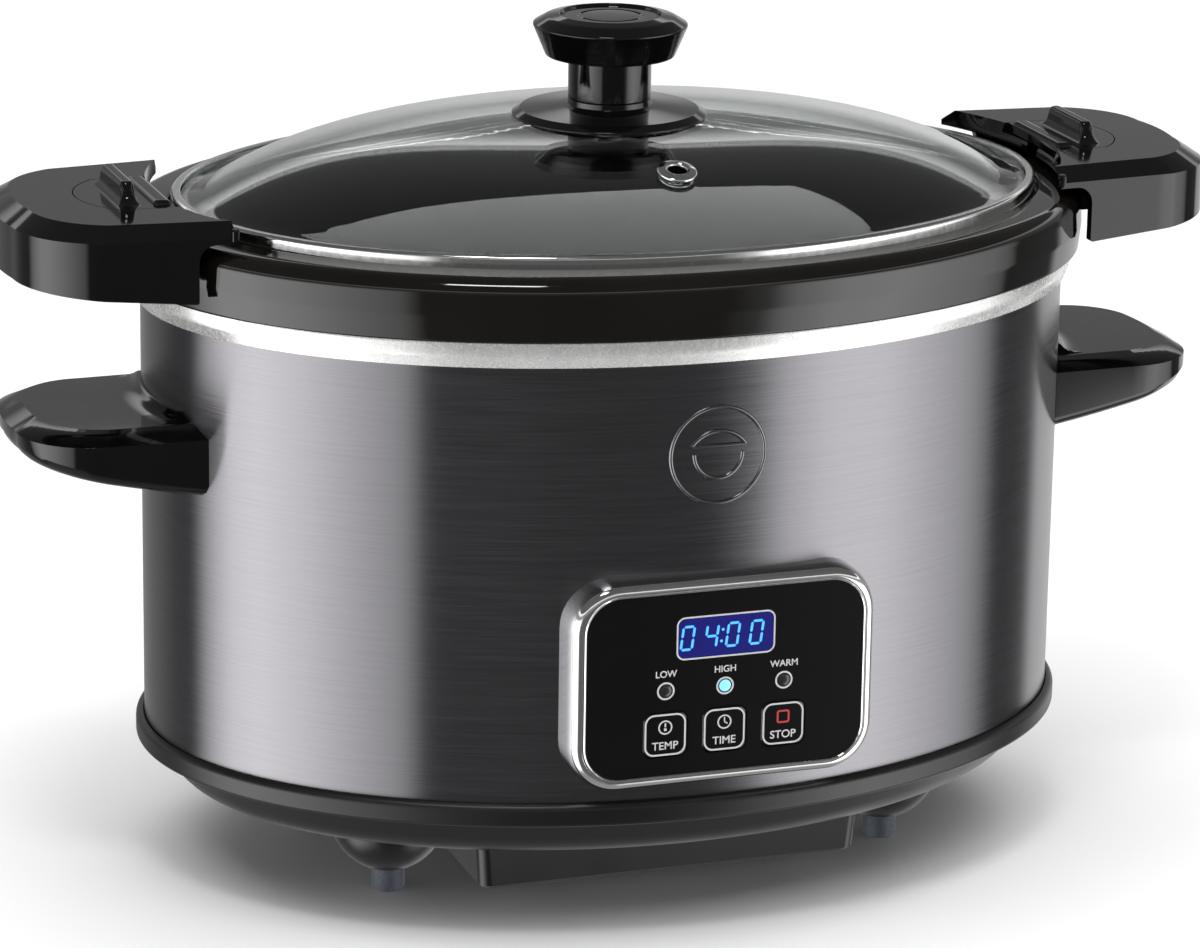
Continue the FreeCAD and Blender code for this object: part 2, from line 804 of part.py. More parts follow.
def lockHandle():
    edgeZ = capTopZ - capChamferDown
    skirtLow = capTopZ - capSkirtInner
    body = Part.Face(capPlan(0, skirtLow)).extrude(Vector(0, 0, edgeZ - skirtLow))
    handle = body.fuse(Part.makeLoft([capPlan(0, edgeZ), capPlan(capChamferIn, capTopZ)], True, True))
    under = capTopZ - capPlate
    hollow = Part.Face(capPlan(capWall, skirtLow - past)).extrude(Vector(0, 0, under - skirtLow + past))
    handle = handle.cut(hollow)
    for x, y in capPostPlaces():
        handle = handle.fuse(post(capPostRadius, lugLowZ, under, x, y))
        handle = handle.cut(post(screwRadius, lugLowZ - past, lugTopZ, x, y))
    handle = handle.cut(box(0, capInnerX, -2 * capTipY, 2 * capTipY, skirtLow - past, under))
    slopeLow = capTopZ - capSkirtOuter
    below = skirtLow - past
    wedge = sideCut([(0, below), (capOuterX + past, below), (capOuterX + past, slopeLow),
                     (capOuterX, slopeLow), (capInnerX, skirtLow), (0, skirtLow)], 2 * capTipY)
    handle = handle.cut(wedge)
    pocket = Part.Face(latchPlan(moveGap, latchPocketReach, capTopZ - latchThick - moveGap))
    handle = handle.cut(pocket.extrude(Vector(0, 0, latchThick + moveGap + past)))
    stemX = capInnerX + finMid
    slot = box(stemX - stemHalfX - moveGap - latchTravel, stemX + stemHalfX + moveGap,
               -stemHalfY - moveGap, stemHalfY + moveGap, under - past, capTopZ)
    return handle.cut(slot)


def capPostPlaces():
    x = capOuterX - capPostIn
    return [(x, -capPostY), (x, capPostY)]


def handleRetainer():
    x = capOuterX - capPostIn
    high = lugLowZ - fitGap
    plate = box(x - retainerHalfX, x + retainerHalfX, -capPostY - capPostRadius, capPostY + capPostRadius,
                high - retainerThick, high)
    for px, py in capPostPlaces():
        plate = plate.cut(post(screwRadius + fitGap, high - retainerThick - past, high + past, px, py))
    low = [e for e in plate.Edges if e.BoundBox.ZMax < high - retainerThick + 1e-6]
    outerEdges = [e for e in low if e.BoundBox.DiagonalLength > retainerHalfX]
    return plate.makeChamfer(retainerChamfer, outerEdges)


def retainerScrews():
    headZ = lugLowZ - fitGap - retainerThick - screwHeadThick
    right = [screwUp(x, y, headZ, screwLength) for x, y in capPostPlaces()]
    return Part.makeCompound(right + [mirrored(s) for s in right])


def latch():
    lowZ = capTopZ - latchThick
    plate = Part.Face(latchPlan(0, 0, lowZ)).extrude(Vector(0, 0, latchThick))
    innerX = capInnerX + latchInnerGap
    nose = box(innerX, innerX + latchNoseWide, -latchNoseHalfY, latchNoseHalfY, lowZ,
               capTopZ + latchNoseUp)
    ends = [e for e in nose.Edges if e.BoundBox.ZMin > capTopZ + latchNoseUp - 1e-6]
    plate = plate.fuse(nose.makeFillet(latchNoseRound, ends))
    finX = capInnerX + finMid
    side = finX - finThick / 2
    finTopZ = capTopZ + finHeight
    steps = [(side, -finBase, capTopZ), (side, -finTop, finTopZ), (side, finTop, finTopZ), (side, finBase, capTopZ)]
    fin = Part.Face(Part.makePolygon([Vector(*p) for p in steps + steps[:1]])).extrude(Vector(finThick, 0, 0))
    tops = [e for e in fin.Edges if e.BoundBox.ZMin > finTopZ - 1e-6 and e.BoundBox.YLength > finTop]
    plate = plate.fuse(fin.makeFillet(finRound, tops))
    footTop = capTopZ - capPlate - moveGap
    stem = box(finX - stemHalfX, finX + stemHalfX, -stemHalfY, stemHalfY, footTop, lowZ)
    foot = box(finX - stemHalfX, finX + stemHalfX, -stemHalfY - stemFootOut, stemHalfY + stemFootOut,
               footTop - stemFootThick, footTop)
    return plate.fuse([stem, foot])


def lidDome(radiusX, topZ, edgeZ, below):
    # A cap of a sphere, flattened along Y so that its edge is the lid's oval.
    rise = topZ - edgeZ
    sphere = (radiusX * radiusX + rise * rise) / (2 * rise)
    ball = Part.makeSphere(sphere, Vector(0, 0, topZ - sphere))
    cap = ball.common(box(-radiusX, radiusX, -radiusX, radiusX, edgeZ - below, topZ + past))
    cap = cap.common(post(radiusX, edgeZ - below - past, topZ + past))
    squeeze = FreeCAD.Matrix()
    squeeze.A22 = domeHalfY / domeHalfX
    return cap.transformGeometry(squeeze)


def lidGlass():
    outer = lidDome(domeHalfX, domeTopZ, glassEdgeZ, 0)
    rimDisc = ovalDisc(lidHalfX - glassEdgeIn, lidHalfY - glassEdgeIn, glassEdgeZ - glassThick, glassEdgeZ)
    inner = lidDome(domeHalfX - glassThick, domeTopZ - glassThick, glassEdgeZ - glassThick, past)
    glass = outer.fuse(rimDisc).cut(inner)
    low = glassEdgeZ - glassThick - past
    high = domeTopZ + past
    glass = glass.cut(post(ventBore + ventNeckWall, low, high, 0, -ventY))
    return glass.cut(post(knobBoltRadius + knobBoltGap, low, high))


def lidRing():
    top = ringLow + ringTall
    ring = ovalDisc(lidHalfX, lidHalfY, ringLow, top)
    edges = [e for e in ring.Edges if e.BoundBox.ZMin > top - 1e-6]
    ring = ring.makeFillet(ringRound, edges)
    ring = ring.cut(ovalDisc(lidHalfX - ringWide, lidHalfY - ringWide, ringLow - past, top + past))
    return ring.cut(ovalDisc(lidHalfX - glassEdgeIn, lidHalfY - glassEdgeIn, glassEdgeZ - glassThick, glassEdgeZ))


def glassHeight(y):
    # Height of the dome's outer face on the line x = 0.
    return domeTopZ - domeRise * (y / domeHalfY) ** 2


def ventGrommet():
    z = glassHeight(ventY)
    clinchTop = z - glassThick - ventClinchGap
    clinchLow = clinchTop - ventClinchThick
    grommet = post(ventOuter, z - ventSeat, z + ventProud, 0, -ventY)
    tops = [e for e in grommet.Edges if e.BoundBox.ZMin > z + ventProud - 1e-6]
    grommet = grommet.makeFillet(ventRound, tops)
    grommet = grommet.fuse(post(ventBore + ventNeckWall, clinchTop, z, 0, -ventY))
    grommet = grommet.fuse(post(ventOuter - ventClinchIn, clinchLow, clinchTop, 0, -ventY))
    whole = grommet.cut(lidGlass())
    biggest = max(whole.Solids, key=lambda s: s.Volume)
    return biggest.cut(post(ventBore, clinchLow - past, z + ventProud + past, 0, -ventY))


def turned(points):
    # A solid of revolution from a profile of radius and height.
    wire = Part.makePolygon([Vector(r, 0, z) for r, z in points + points[:1]])
    return Part.Face(wire).revolve(Vector(0, 0, 0), Vector(0, 0, 1), 360)


def knobBase():
    low = domeTopZ - knobBaseSink
    base = turned([(0, low), (knobBaseRadius, low), (knobBaseRadius, low + knobBaseEdge),
                   (knobBaseTop + knobBaseFlare, low + knobBaseFlareUp), (knobBaseTop, low + knobBaseRise),
                   (0, low + knobBaseRise)])
    base = base.cut(lidGlass())
    base = max(base.Solids, key=lambda s: s.Volume)
    return base.cut(post(knobBoltRadius + fitGap, low - past, low + knobBaseRise + past))


def knob():
    low = domeTopZ - knobBaseSink + knobBaseRise
    disc = knobStemTop
    widest = disc + knobDiscUp
    top = disc + knobTopUp
    body = turned([(0, low), (knobStemRadius, low), (knobStemRadius, disc - knobStemFlare),
                   (knobStemRadius + knobStemFlare, disc), (knobDiscLow, disc), (knobDiscWide, widest),
                   (knobDiscWide - knobRimRound, widest + knobRimRound), (knobDish + knobDishWall, top),
                   (knobDish, top), (knobDish, top - knobDishDeep), (0, top - knobDishDeep)])
    return body.cut(post(knobBoltRadius, low - past, disc))


def knobInsert():
    top = knobStemTop + knobTopUp - knobInsertDown
    disc = post(knobDish - fitGap, knobStemTop + knobTopUp - knobDishDeep, top)
    return disc.makeFillet(knobInsertRound, [e for e in disc.Edges if e.BoundBox.ZMin > top - 1e-6])


def knobBolt():
    headTop = domeTopZ - glassThick - washerThick
    bolt = post(knobBoltHead, headTop - knobBoltHeadThick, headTop)
    return bolt.fuse(post(knobBoltRadius, headTop, knobStemTop - past))


def knobWasher():
    high = domeTopZ - glassThick
    washer = post(washerRadius, high - washerThick, high)
    washer = washer.cut(post(knobBoltRadius, high - washerThick - past, high + past))
    return washer.cut(lidGlass())


def save(name, shape):
    shape.exportStep("parts/" + name + ".step")
    print(name, len(shape.Solids), round(shape.Volume / 1000, 2))


save("outer_shell", outerShell())
save("base_tray", baseTray())
save("heating_liner", heatingLiner())
save("heater_band", heaterBand())
save("liner_studs", linerStuds())
save("base_nuts", baseNuts())
save("temperature_sensor", temperatureSensor())
save("thermal_fuse", thermalFuse())
save("underside_housing", undersideHousing())
save("housing_screws", housingScrews())
save("power_board", powerBoard())
save("power_relay", powerRelay())
save("cord_gland", cordGland())
for (x, y), side in zip(footPlaces(), ["front_left", "rear_left", "front_right", "rear_right"]):
    save("foot_" + side, rubberFoot(x, y))

save("carry_handle_right", carryHandle())
save("carry_handle_left", mirrored(carryHandle()))
save("carry_back_plate_right", carryBackPlate())
save("carry_back_plate_left", mirrored(carryBackPlate()))
save("carry_handle_screws", carryScrews())

save("control_bezel", controlBezel())
save("control_fascia", controlFascia())
save("display_window", displayWindow())
save("display_module", displayModule())
save("control_board", controlBoard())
save("control_housing", controlHousing())
save("board_screws", boardScrews())
save("key_switches", keySwitches())
for (x, z), keyName, lampName in zip(keyPlaces(), ["temp", "time", "stop"], ["low", "high", "warm"]):
    save("key_" + keyName, panelKey(x, z))
    save("lamp_" + lampName, indicatorLamp(x))

save("crock", crock())
save("lock_handle_right", lockHandle())
save("lock_handle_left", mirrored(lockHandle()))
save("handle_retainer_right", handleRetainer())
save("handle_retainer_left", mirrored(handleRetainer()))
save("retainer_screws", retainerScrews())
save("lid_latch_right", latch())
save("lid_latch_left", mirrored(latch()))

save("lid_glass", lidGlass())
save("lid_ring", lidRing())
save("vent_grommet", ventGrommet())
save("knob_base", knobBase())
save("knob", knob())
save("knob_insert", knobInsert())
save("knob_bolt", knobBolt())
save("knob_washer", knobWasher())
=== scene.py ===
import json
import math

import bmesh
import bpy
from mathutils import Matrix, Vector, kdtree


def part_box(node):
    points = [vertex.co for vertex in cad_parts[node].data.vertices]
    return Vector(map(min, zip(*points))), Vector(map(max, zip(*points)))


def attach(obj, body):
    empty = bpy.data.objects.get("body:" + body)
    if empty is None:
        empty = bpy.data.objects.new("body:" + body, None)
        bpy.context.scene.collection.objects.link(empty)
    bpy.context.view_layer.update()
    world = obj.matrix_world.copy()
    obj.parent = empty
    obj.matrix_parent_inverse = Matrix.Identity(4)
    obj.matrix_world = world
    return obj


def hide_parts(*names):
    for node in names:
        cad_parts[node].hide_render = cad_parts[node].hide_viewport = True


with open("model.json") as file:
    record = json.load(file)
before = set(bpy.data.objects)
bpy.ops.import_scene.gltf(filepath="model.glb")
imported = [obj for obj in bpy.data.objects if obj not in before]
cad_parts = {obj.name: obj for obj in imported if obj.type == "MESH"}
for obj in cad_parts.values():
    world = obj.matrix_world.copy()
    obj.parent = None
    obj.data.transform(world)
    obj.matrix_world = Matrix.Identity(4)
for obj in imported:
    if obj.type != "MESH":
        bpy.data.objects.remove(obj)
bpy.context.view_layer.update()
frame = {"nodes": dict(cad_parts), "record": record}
mm = 0.001
print("frame loaded")


# small helpers for modelling

def span(node):
    # lowest and highest corner of a node, in millimetres
    low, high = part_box(node)
    return low / mm, high / mm


def clearSelection():
    if bpy.context.object and bpy.context.object.mode != "OBJECT":
        bpy.ops.object.mode_set(mode="OBJECT")
    bpy.ops.object.select_all(action="DESELECT")


def pick(piece):
    clearSelection()
    piece.select_set(True)
    bpy.context.view_layer.objects.active = piece


def roundedPath(corners, steps=5, closed=False):
    # corners are (across, up, radius); each radius becomes an arc
    path = []
    count = len(corners)
    for place, (across, up, radius) in enumerate(corners):
        here = Vector((across, up))
        atEnd = not closed and place in (0, count - 1)
        if atEnd or radius == 0:
            path.append(here)
            continue
        back = (Vector(corners[place - 1][:2]) - here).normalized()
        ahead = (Vector(corners[(place + 1) % count][:2]) - here).normalized()
        turn = back.angle(ahead)
        centre = here + (back + ahead).normalized() * (radius / math.sin(turn / 2))
        first = here + back * (radius / math.tan(turn / 2)) - centre
        last = here + ahead * (radius / math.tan(turn / 2)) - centre
        sweep = math.pi - turn
        if first.x * last.y - first.y * last.x < 0:
            sweep = -sweep
        for step in range(steps + 1):
            angle = sweep * step / steps
            path.append(centre + Vector((first.x * math.cos(angle) - first.y * math.sin(angle),
                                         first.x * math.sin(angle) + first.y * math.cos(angle))))
    return path


def ovalRing(halfX, halfY, up, sides=160, midX=0.0, midY=0.0):
    turns = [2 * math.pi * side / sides for side in range(sides)]
    return [(midX + halfX * math.cos(turn), midY + halfY * math.sin(turn), up) for turn in turns]


def ovalRings(halfX, halfY, path, sides=160, midX=0.0, midY=0.0):
    return [ovalRing(halfX + across, halfY + across, up, sides, midX, midY) for across, up in path]


def roundedBox(width, height, radius, steps=7):
    # outline of a rectangle with round corners, in its own plane
    points = []
    for quarter in range(4):
        signX = 1 if quarter in (0, 3) else -1
        signY = 1 if quarter in (0, 1) else -1
        for step in range(steps + 1):
            turn = math.pi / 2 * (quarter + step / steps)
            points.append((signX * (width / 2 - radius) + radius * math.cos(turn),
                           signY * (height / 2 - radius) + radius * math.sin(turn)))
    return points


def facing(points, midX, midZ, y):
    # the outline stood up so that it faces the front
    return [(midX + x, y, midZ + z) for x, z in points]


def lying(points, midX, midY, z):
    return [(midX + x, midY + y, z) for x, y in points]


def arcThrough(start, middle, end, steps):
    # points on the circle through three points, without the last one
    (ax, ay), (bx, by), (cx, cy) = start, middle, end
    a, b, c = ax * ax + ay * ay, bx * bx + by * by, cx * cx + cy * cy
    d = 2 * (ax * (by - cy) + bx * (cy - ay) + cx * (ay - by))
    ux = (a * (by - cy) + b * (cy - ay) + c * (ay - by)) / d
    uy = (a * (cx - bx) + b * (ax - cx) + c * (bx - ax)) / d
    radius = math.hypot(ax - ux, ay - uy)
    first = math.atan2(ay - uy, ax - ux)
    sweep = math.atan2(cy - uy, cx - ux) - first
    through = (math.atan2(by - uy, bx - ux) - first) % (2 * math.pi)
    sweep %= 2 * math.pi
    if through > sweep:
        sweep -= 2 * math.pi
    return [(ux + radius * math.cos(first + sweep * step / steps),
             uy + radius * math.sin(first + sweep * step / steps)) for step in range(steps)]


def straight(start, end, steps):
    return [(start[0] + (end[0] - start[0]) * step / steps,
             start[1] + (end[1] - start[1]) * step / steps) for step in range(steps)]


def nearSide(point):
    # the same place on the side towards the front
    return point[0], -point[1]


def loft(name, rings, capFirst=True, capLast=True, loop=False):
    # a ring of edges is extruded from each outline to the next
    clearSelection()
    count = len(rings[0])
    bpy.ops.mesh.primitive_circle_add(vertices=count, radius=0.1)
    piece = bpy.context.object
    piece.name = name
    piece.data.name = name
    for vertex, point in zip(piece.data.vertices, rings[0]):
        vertex.co = Vector(point) * mm
    bpy.ops.object.mode_set(mode="EDIT")
    bpy.ops.mesh.select_mode(type="VERT")
    bpy.ops.mesh.select_all(action="SELECT")
    for below, above in zip(rings, rings[1:] + ([rings[0]] if loop else [])):
        bpy.ops.mesh.extrude_edges_move()
        tree = kdtree.KDTree(count)
        for place, point in enumerate(below):
            tree.insert(Vector(point) * mm, place)
        tree.balance()
        mesh = bmesh.from_edit_mesh(piece.data)
        for vertex in mesh.verts:
            if vertex.select:
                vertex.co = Vector(above[tree.find(vertex.co)[1]]) * mm
        bmesh.update_edit_mesh(piece.data)
    if capLast and not loop:
        bpy.ops.mesh.edge_face_add()
    if capFirst and not loop:
        mesh = bmesh.from_edit_mesh(piece.data)
        mesh.verts.ensure_lookup_table()
        for vertex in mesh.verts:
            vertex.select = vertex.index < count
        mesh.select_flush(True)
        bmesh.update_edit_mesh(piece.data)
        bpy.ops.mesh.select_mode(type="VERT")
        bpy.ops.mesh.edge_face_add()
    bpy.ops.mesh.select_all(action="SELECT")
    bpy.ops.mesh.remove_doubles(threshold=2e-6)
    bpy.ops.mesh.normals_make_consistent(inside=False)
    bpy.ops.object.mode_set(mode="OBJECT")
    return piece


def slab(name, outline, midX, midZ, back, front):
    return loft(name, [facing(outline, midX, midZ, back), facing(outline, midX, midZ, front)])


def block(name, outline, midX, midY, low, high):
    return loft(name, [lying(outline, midX, midY, low), lying(outline, midX, midY, high)])


def column(name, halfX, halfY, low, high, sides, midX=0.0, midY=0.0):
    return loft(name, [ovalRing(halfX, halfY, up, sides, midX, midY) for up in (low, high)])


def applyAll(piece):
    pick(piece)
    for modifier in list(piece.modifiers):
        bpy.ops.object.modifier_apply(modifier=modifier.name)


def combine(piece, operation, other):
    modifier = piece.modifiers.new("combine", "BOOLEAN")
    modifier.operation = operation
    modifier.solver = "EXACT"
    modifier.object = other
    applyAll(piece)
    bpy.data.objects.remove(other)


def cut(piece, cutter):
    combine(piece, "DIFFERENCE", cutter)


def weld(piece, other):
    combine(piece, "UNION", other)


def meet(piece, other):
    combine(piece, "INTERSECT", other)


def soften(piece, width, segments=3, angle=40):
    modifier = piece.modifiers.new("soften", "BEVEL")
    modifier.width = width * mm
    modifier.segments = segments
    modifier.limit_method = "ANGLE"
    modifier.angle_limit = math.radians(angle)
    modifier.use_clamp_overlap = True
    applyAll(piece)


def finishPiece(piece, body, material, slotName, *nodes, angle=35):
    pick(piece)
    bpy.ops.object.transform_apply(location=True, rotation=True, scale=True)
    bpy.ops.object.shade_smooth_by_angle(angle=math.radians(angle))
    even = piece.modifiers.new("even", "WEIGHTED_NORMAL")
    even.keep_sharp = True
    applyAll(piece)
    piece.data.materials.clear()
    piece.data.materials.append(material)
    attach(piece, body)
    if nodes:
        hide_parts(*nodes)
    return piece


def faceOutwards(piece):
    pick(piece)
    bpy.ops.object.mode_set(mode="EDIT")
    bpy.ops.mesh.select_all(action="SELECT")
    bpy.ops.mesh.normals_make_consistent(inside=False)
    bpy.ops.object.mode_set(mode="OBJECT")


def joined(name, parts):
    pick(parts[0])
    for part in parts[1:]:
        part.select_set(True)
    bpy.ops.object.join()
    whole = bpy.context.object
    whole.name = name
    whole.data.name = name
    return whole


def mirroredCopy(piece, name):
    pick(piece)
    bpy.ops.object.duplicate()
    twin = bpy.context.object
    twin.name = name
    twin.data.name = name
    twin.scale.x = -1
    bpy.ops.object.transform_apply(location=True, rotation=True, scale=True)
    faceOutwards(twin)
    return twin


# finishes

def startMaterial(name, base, roughness, metallic=0.0):
    material = bpy.data.materials.new(name)
    material.use_nodes = True
    nodes = material.node_tree.nodes
    shader = nodes["Principled BSDF"]
    shader.inputs["Base Color"].default_value = (*base, 1)
    shader.inputs["Roughness"].default_value = roughness
    shader.inputs["Metallic"].default_value = metallic
    return material, nodes, material.node_tree.links, shader


def grain(nodes, links, stretch, scale=1.0, detail=3.0, kind="ShaderNodeTexNoise"):
    # a pattern on the piece's own coordinates, stretched along each axis
    place = nodes.new("ShaderNodeTexCoord")
    mapping = nodes.new("ShaderNodeMapping")
    mapping.inputs["Scale"].default_value = stretch
    pattern = nodes.new(kind)
    pattern.inputs["Scale"].default_value = scale
    if "Detail" in pattern.inputs:
        pattern.inputs["Detail"].default_value = detail
    links.new(place.outputs["Object"], mapping.inputs["Vector"])
    links.new(mapping.outputs["Vector"], pattern.inputs["Vector"])
    return pattern.outputs[0] if kind == "ShaderNodeTexNoise" else pattern.outputs["Distance"]


def roughen(nodes, links, shader, value, low, high):
    ranged = nodes.new("ShaderNodeMapRange")
    ranged.inputs["From Min"].default_value = 0.3
    ranged.inputs["From Max"].default_value = 0.7
    ranged.inputs["To Min"].default_value = low
    ranged.inputs["To Max"].default_value = high
    links.new(value, ranged.inputs["Value"])
    links.new(ranged.outputs["Result"], shader.inputs["Roughness"])


def tint(nodes, links, shader, value, first, second, socket="Base Color"):
    ramp = nodes.new("ShaderNodeValToRGB")
    ramp.color_ramp.elements[0].position = 0.3
    ramp.color_ramp.elements[0].color = (*first, 1)
    ramp.color_ramp.elements[1].position = 0.7
    ramp.color_ramp.elements[1].color = (*second, 1)
    links.new(value, ramp.inputs["Fac"])
    links.new(ramp.outputs["Color"], shader.inputs[socket])


def bumps(nodes, links, shader, value, strength, depth):
    bump = nodes.new("ShaderNodeBump")
    bump.inputs["Strength"].default_value = strength
    bump.inputs["Distance"].default_value = depth * mm
    links.new(value, bump.inputs["Height"])
    links.new(bump.outputs["Normal"], shader.inputs["Normal"])


def scaled(colour, share):
    return tuple(part * share for part in colour)


def brushedWall():
    look = {"dark": (0.170, 0.166, 0.176), "light": (0.205, 0.200, 0.212), "lines": 2400, "run": 30}
    material, nodes, links, shader = startMaterial("blackStainless", look["light"], 0.3, 1.0)
    lines = grain(nodes, links, (look["run"], look["run"], look["lines"]), 1.0, 4.0)
    tint(nodes, links, shader, lines, look["dark"], look["light"])
    roughen(nodes, links, shader, lines, 0.20, 0.27)
    shader.inputs["Anisotropic"].default_value = 0.95
    shader.inputs["Anisotropic Rotation"].default_value = 0.25
    tangent = nodes.new("ShaderNodeTangent")
    tangent.direction_type = "RADIAL"
    tangent.axis = "Z"
    links.new(tangent.outputs["Tangent"], shader.inputs["Tangent"])
    bumps(nodes, links, shader, lines, 0.1, 0.012)
    return material


def satinPlastic(name, base, roughness=0.36):
    material, nodes, links, shader = startMaterial(name, base, roughness)
    fine = grain(nodes, links, (1, 1, 1), 1600, 4.0)
    cloudy = grain(nodes, links, (1, 1, 1), 28, 2.0)
    roughen(nodes, links, shader, cloudy, roughness - 0.04, roughness + 0.06)
    tint(nodes, links, shader, fine, scaled(base, 0.85), scaled(base, 1.15))
    bumps(nodes, links, shader, fine, 0.18, 0.05)
    return material


def glossPlastic(name, base, roughness=0.06):
    material, nodes, links, shader = startMaterial(name, base, roughness)
    smudge = grain(nodes, links, (1, 1, 1), 45, 5.0)
    roughen(nodes, links, shader, smudge, roughness * 0.8, roughness * 1.6)
    tint(nodes, links, shader, smudge, scaled(base, 0.9), scaled(base, 1.1))
    bumps(nodes, links, shader, grain(nodes, links, (1, 1, 1), 90, 1.0), 0.05, 0.04)
    return material


def rolledMetal():
    material, nodes, links, shader = startMaterial("rolledRim", (0.86, 0.86, 0.85), 0.26, 0.55)
    dents = grain(nodes, links, (110, 110, 32), 1.0, 3.0)
    fine = grain(nodes, links, (1, 1, 1), 700, 3.0)
    roughen(nodes, links, shader, fine, 0.18, 0.34)
    tint(nodes, links, shader, dents, (0.80, 0.80, 0.79), (0.90, 0.90, 0.89))
    bumps(nodes, links, shader, dents, 0.4, 0.12)
    return material


def brightMetal(name, base, low, high, scale=500):
    material, nodes, links, shader = startMaterial(name, base, low, 1.0)
    fine = grain(nodes, links, (1, 1, 1), scale, 3.0)
    roughen(nodes, links, shader, fine, low, high)
    tint(nodes, links, shader, fine, scaled(base, 0.94), base)
    bumps(nodes, links, shader, fine, 0.06, 0.02)
    return material


def blackGlaze():
    look = {"thin": (0.0055, 0.0047, 0.0036), "thick": (0.0022, 0.0020, 0.0018)}
    material, nodes, links, shader = startMaterial("blackGlaze", look["thick"], 0.05)
    pool = grain(nodes, links, (1, 1, 1), 18, 3.0)
    tint(nodes, links, shader, pool, look["thick"], look["thin"])
    roughen(nodes, links, shader, pool, 0.035, 0.08)
    shader.inputs["IOR"].default_value = 1.56
    bumps(nodes, links, shader, grain(nodes, links, (1, 1, 1), 40, 1.0), 0.12, 0.25)
    return material


def clearGlass():
    material, nodes, links, shader = startMaterial("temperedGlass", (0.93, 0.97, 0.955), 0.0)
    shader.inputs["Transmission Weight"].default_value = 1.0
    shader.inputs["IOR"].default_value = 1.5
    haze = grain(nodes, links, (1, 1, 1), 14, 4.0)
    tint(nodes, links, shader, haze, (0.90, 0.955, 0.94), (0.96, 0.985, 0.975))
    roughen(nodes, links, shader, haze, 0.0, 0.012)
    return material


def zincPlate():
    material, nodes, links, shader = startMaterial("zincPlate", (0.6, 0.6, 0.58), 0.35, 1.0)
    flakes = grain(nodes, links, (1, 1, 1), 400, 0, "ShaderNodeTexVoronoi")
    roughen(nodes, links, shader, flakes, 0.28, 0.42)
    tint(nodes, links, shader, flakes, (0.52, 0.52, 0.5), (0.66, 0.66, 0.63))
    return material


def boardGreen():
    material, nodes, links, shader = startMaterial("boardGreen", (0.02, 0.12, 0.04), 0.35)
    place = nodes.new("ShaderNodeTexCoord")
    tracks = nodes.new("ShaderNodeTexBrick")
    tracks.inputs["Scale"].default_value = 160
    tracks.inputs["Color1"].default_value = (0.015, 0.11, 0.035, 1)
    tracks.inputs["Color2"].default_value = (0.02, 0.14, 0.045, 1)
    tracks.inputs["Mortar"].default_value = (0.05, 0.2, 0.07, 1)
    links.new(place.outputs["Object"], tracks.inputs["Vector"])
    links.new(tracks.outputs["Color"], shader.inputs["Base Color"])
    return material


def foilWrap():
    material, nodes, links, shader = startMaterial("foilWrap", (0.7, 0.68, 0.62), 0.35, 1.0)
    creases = grain(nodes, links, (1, 1, 2), 90, 6.0)
    bumps(nodes, links, shader, creases, 0.6, 0.6)
    tint(nodes, links, shader, creases, (0.55, 0.53, 0.48), (0.75, 0.73, 0.68))
    return material


def footRubber():
    material, nodes, links, shader = startMaterial("footRubber", (0.11, 0.13, 0.16), 0.6)
    fine = grain(nodes, links, (1, 1, 1), 900, 4.0)
    tint(nodes, links, shader, fine, (0.09, 0.105, 0.135), (0.14, 0.16, 0.195))
    bumps(nodes, links, shader, fine, 0.3, 0.08)
    return material


def glowing(name, base, light, strength):
    material, nodes, links, shader = startMaterial(name, base, 0.2)
    soft = grain(nodes, links, (1, 1, 1), 300, 2.0)
    tint(nodes, links, shader, soft, scaled(light, 0.85), light, "Emission Color")
    shader.inputs["Emission Strength"].default_value = strength
    return material


def printInk(name, base):
    material, nodes, links, shader = startMaterial(name, base, 0.45)
    fine = grain(nodes, links, (1, 1, 1), 1500, 2.0)
    tint(nodes, links, shader, fine, scaled(base, 0.85), base)
    return material


wall = brushedWall()
satin = satinPlastic("satinBase", (0.007, 0.0072, 0.0078), 0.34)
mattePart = satinPlastic("mattePart", (0.010, 0.010, 0.010), 0.5)
gloss = glossPlastic("glossHandle", (0.0022, 0.0022, 0.0024))
panelBlack = glossPlastic("panelBlack", (0.0018, 0.0018, 0.0022), 0.05)
rolled = rolledMetal()
chrome = brightMetal("chromeTrim", (0.86, 0.86, 0.85), 0.05, 0.10)
steelTrim = brightMetal("steelTrim", (0.80, 0.80, 0.79), 0.10, 0.18)
sensorMetal = brightMetal("sensorMetal", (0.7, 0.7, 0.7), 0.2, 0.35)
glaze = blackGlaze()
glass = clearGlass()
zinc = zincPlate()
green = boardGreen()
foil = foilWrap()
rubber = footRubber()
legend = printInk("legendInk", (0.62, 0.62, 0.63))
legendRed = printInk("legendRed", (0.55, 0.04, 0.04))
displayBack = glowing("displayBack", (0.004, 0.004, 0.015), (0.006, 0.008, 0.40), 0.42)
segmentLight = glowing("segmentLight", (0.05, 0.2, 0.5), (0.05, 0.34, 1.0), 1.5)
lampOn = glowing("lampOn", (0.1, 0.3, 0.6), (0.16, 0.46, 1.0), 1.7)
lampOff = glossPlastic("lampOff", (0.02, 0.02, 0.024), 0.1)
print("finishes ready")

slotFinish = {
    "black_steel": wall, "base_plastic": satin, "liner_metal": rolled, "heater_wrap": foil,
              "zinc_steel": zinc,
    "sensor_metal": sensorMetal, "circuit_board": green, "black_parts": mattePart, "foot_rubber": rubber,
    "gloss_handle": gloss, "matte_inner": mattePart, "chrome_trim": chrome, "panel_gloss": panelBlack,
    "display_lens": displayBack, "lamp_lens": lampOff, "lamp_lit": lampOn, "crock_glaze": glaze,
              "lid_glass": glass}
for part in frame["record"]["subparts"]:
    node = frame["nodes"][part["node"]]
    node.data.materials.clear()
    node.data.materials.append(slotFinish[part["material_slot"]])


# body: shell, base and liner

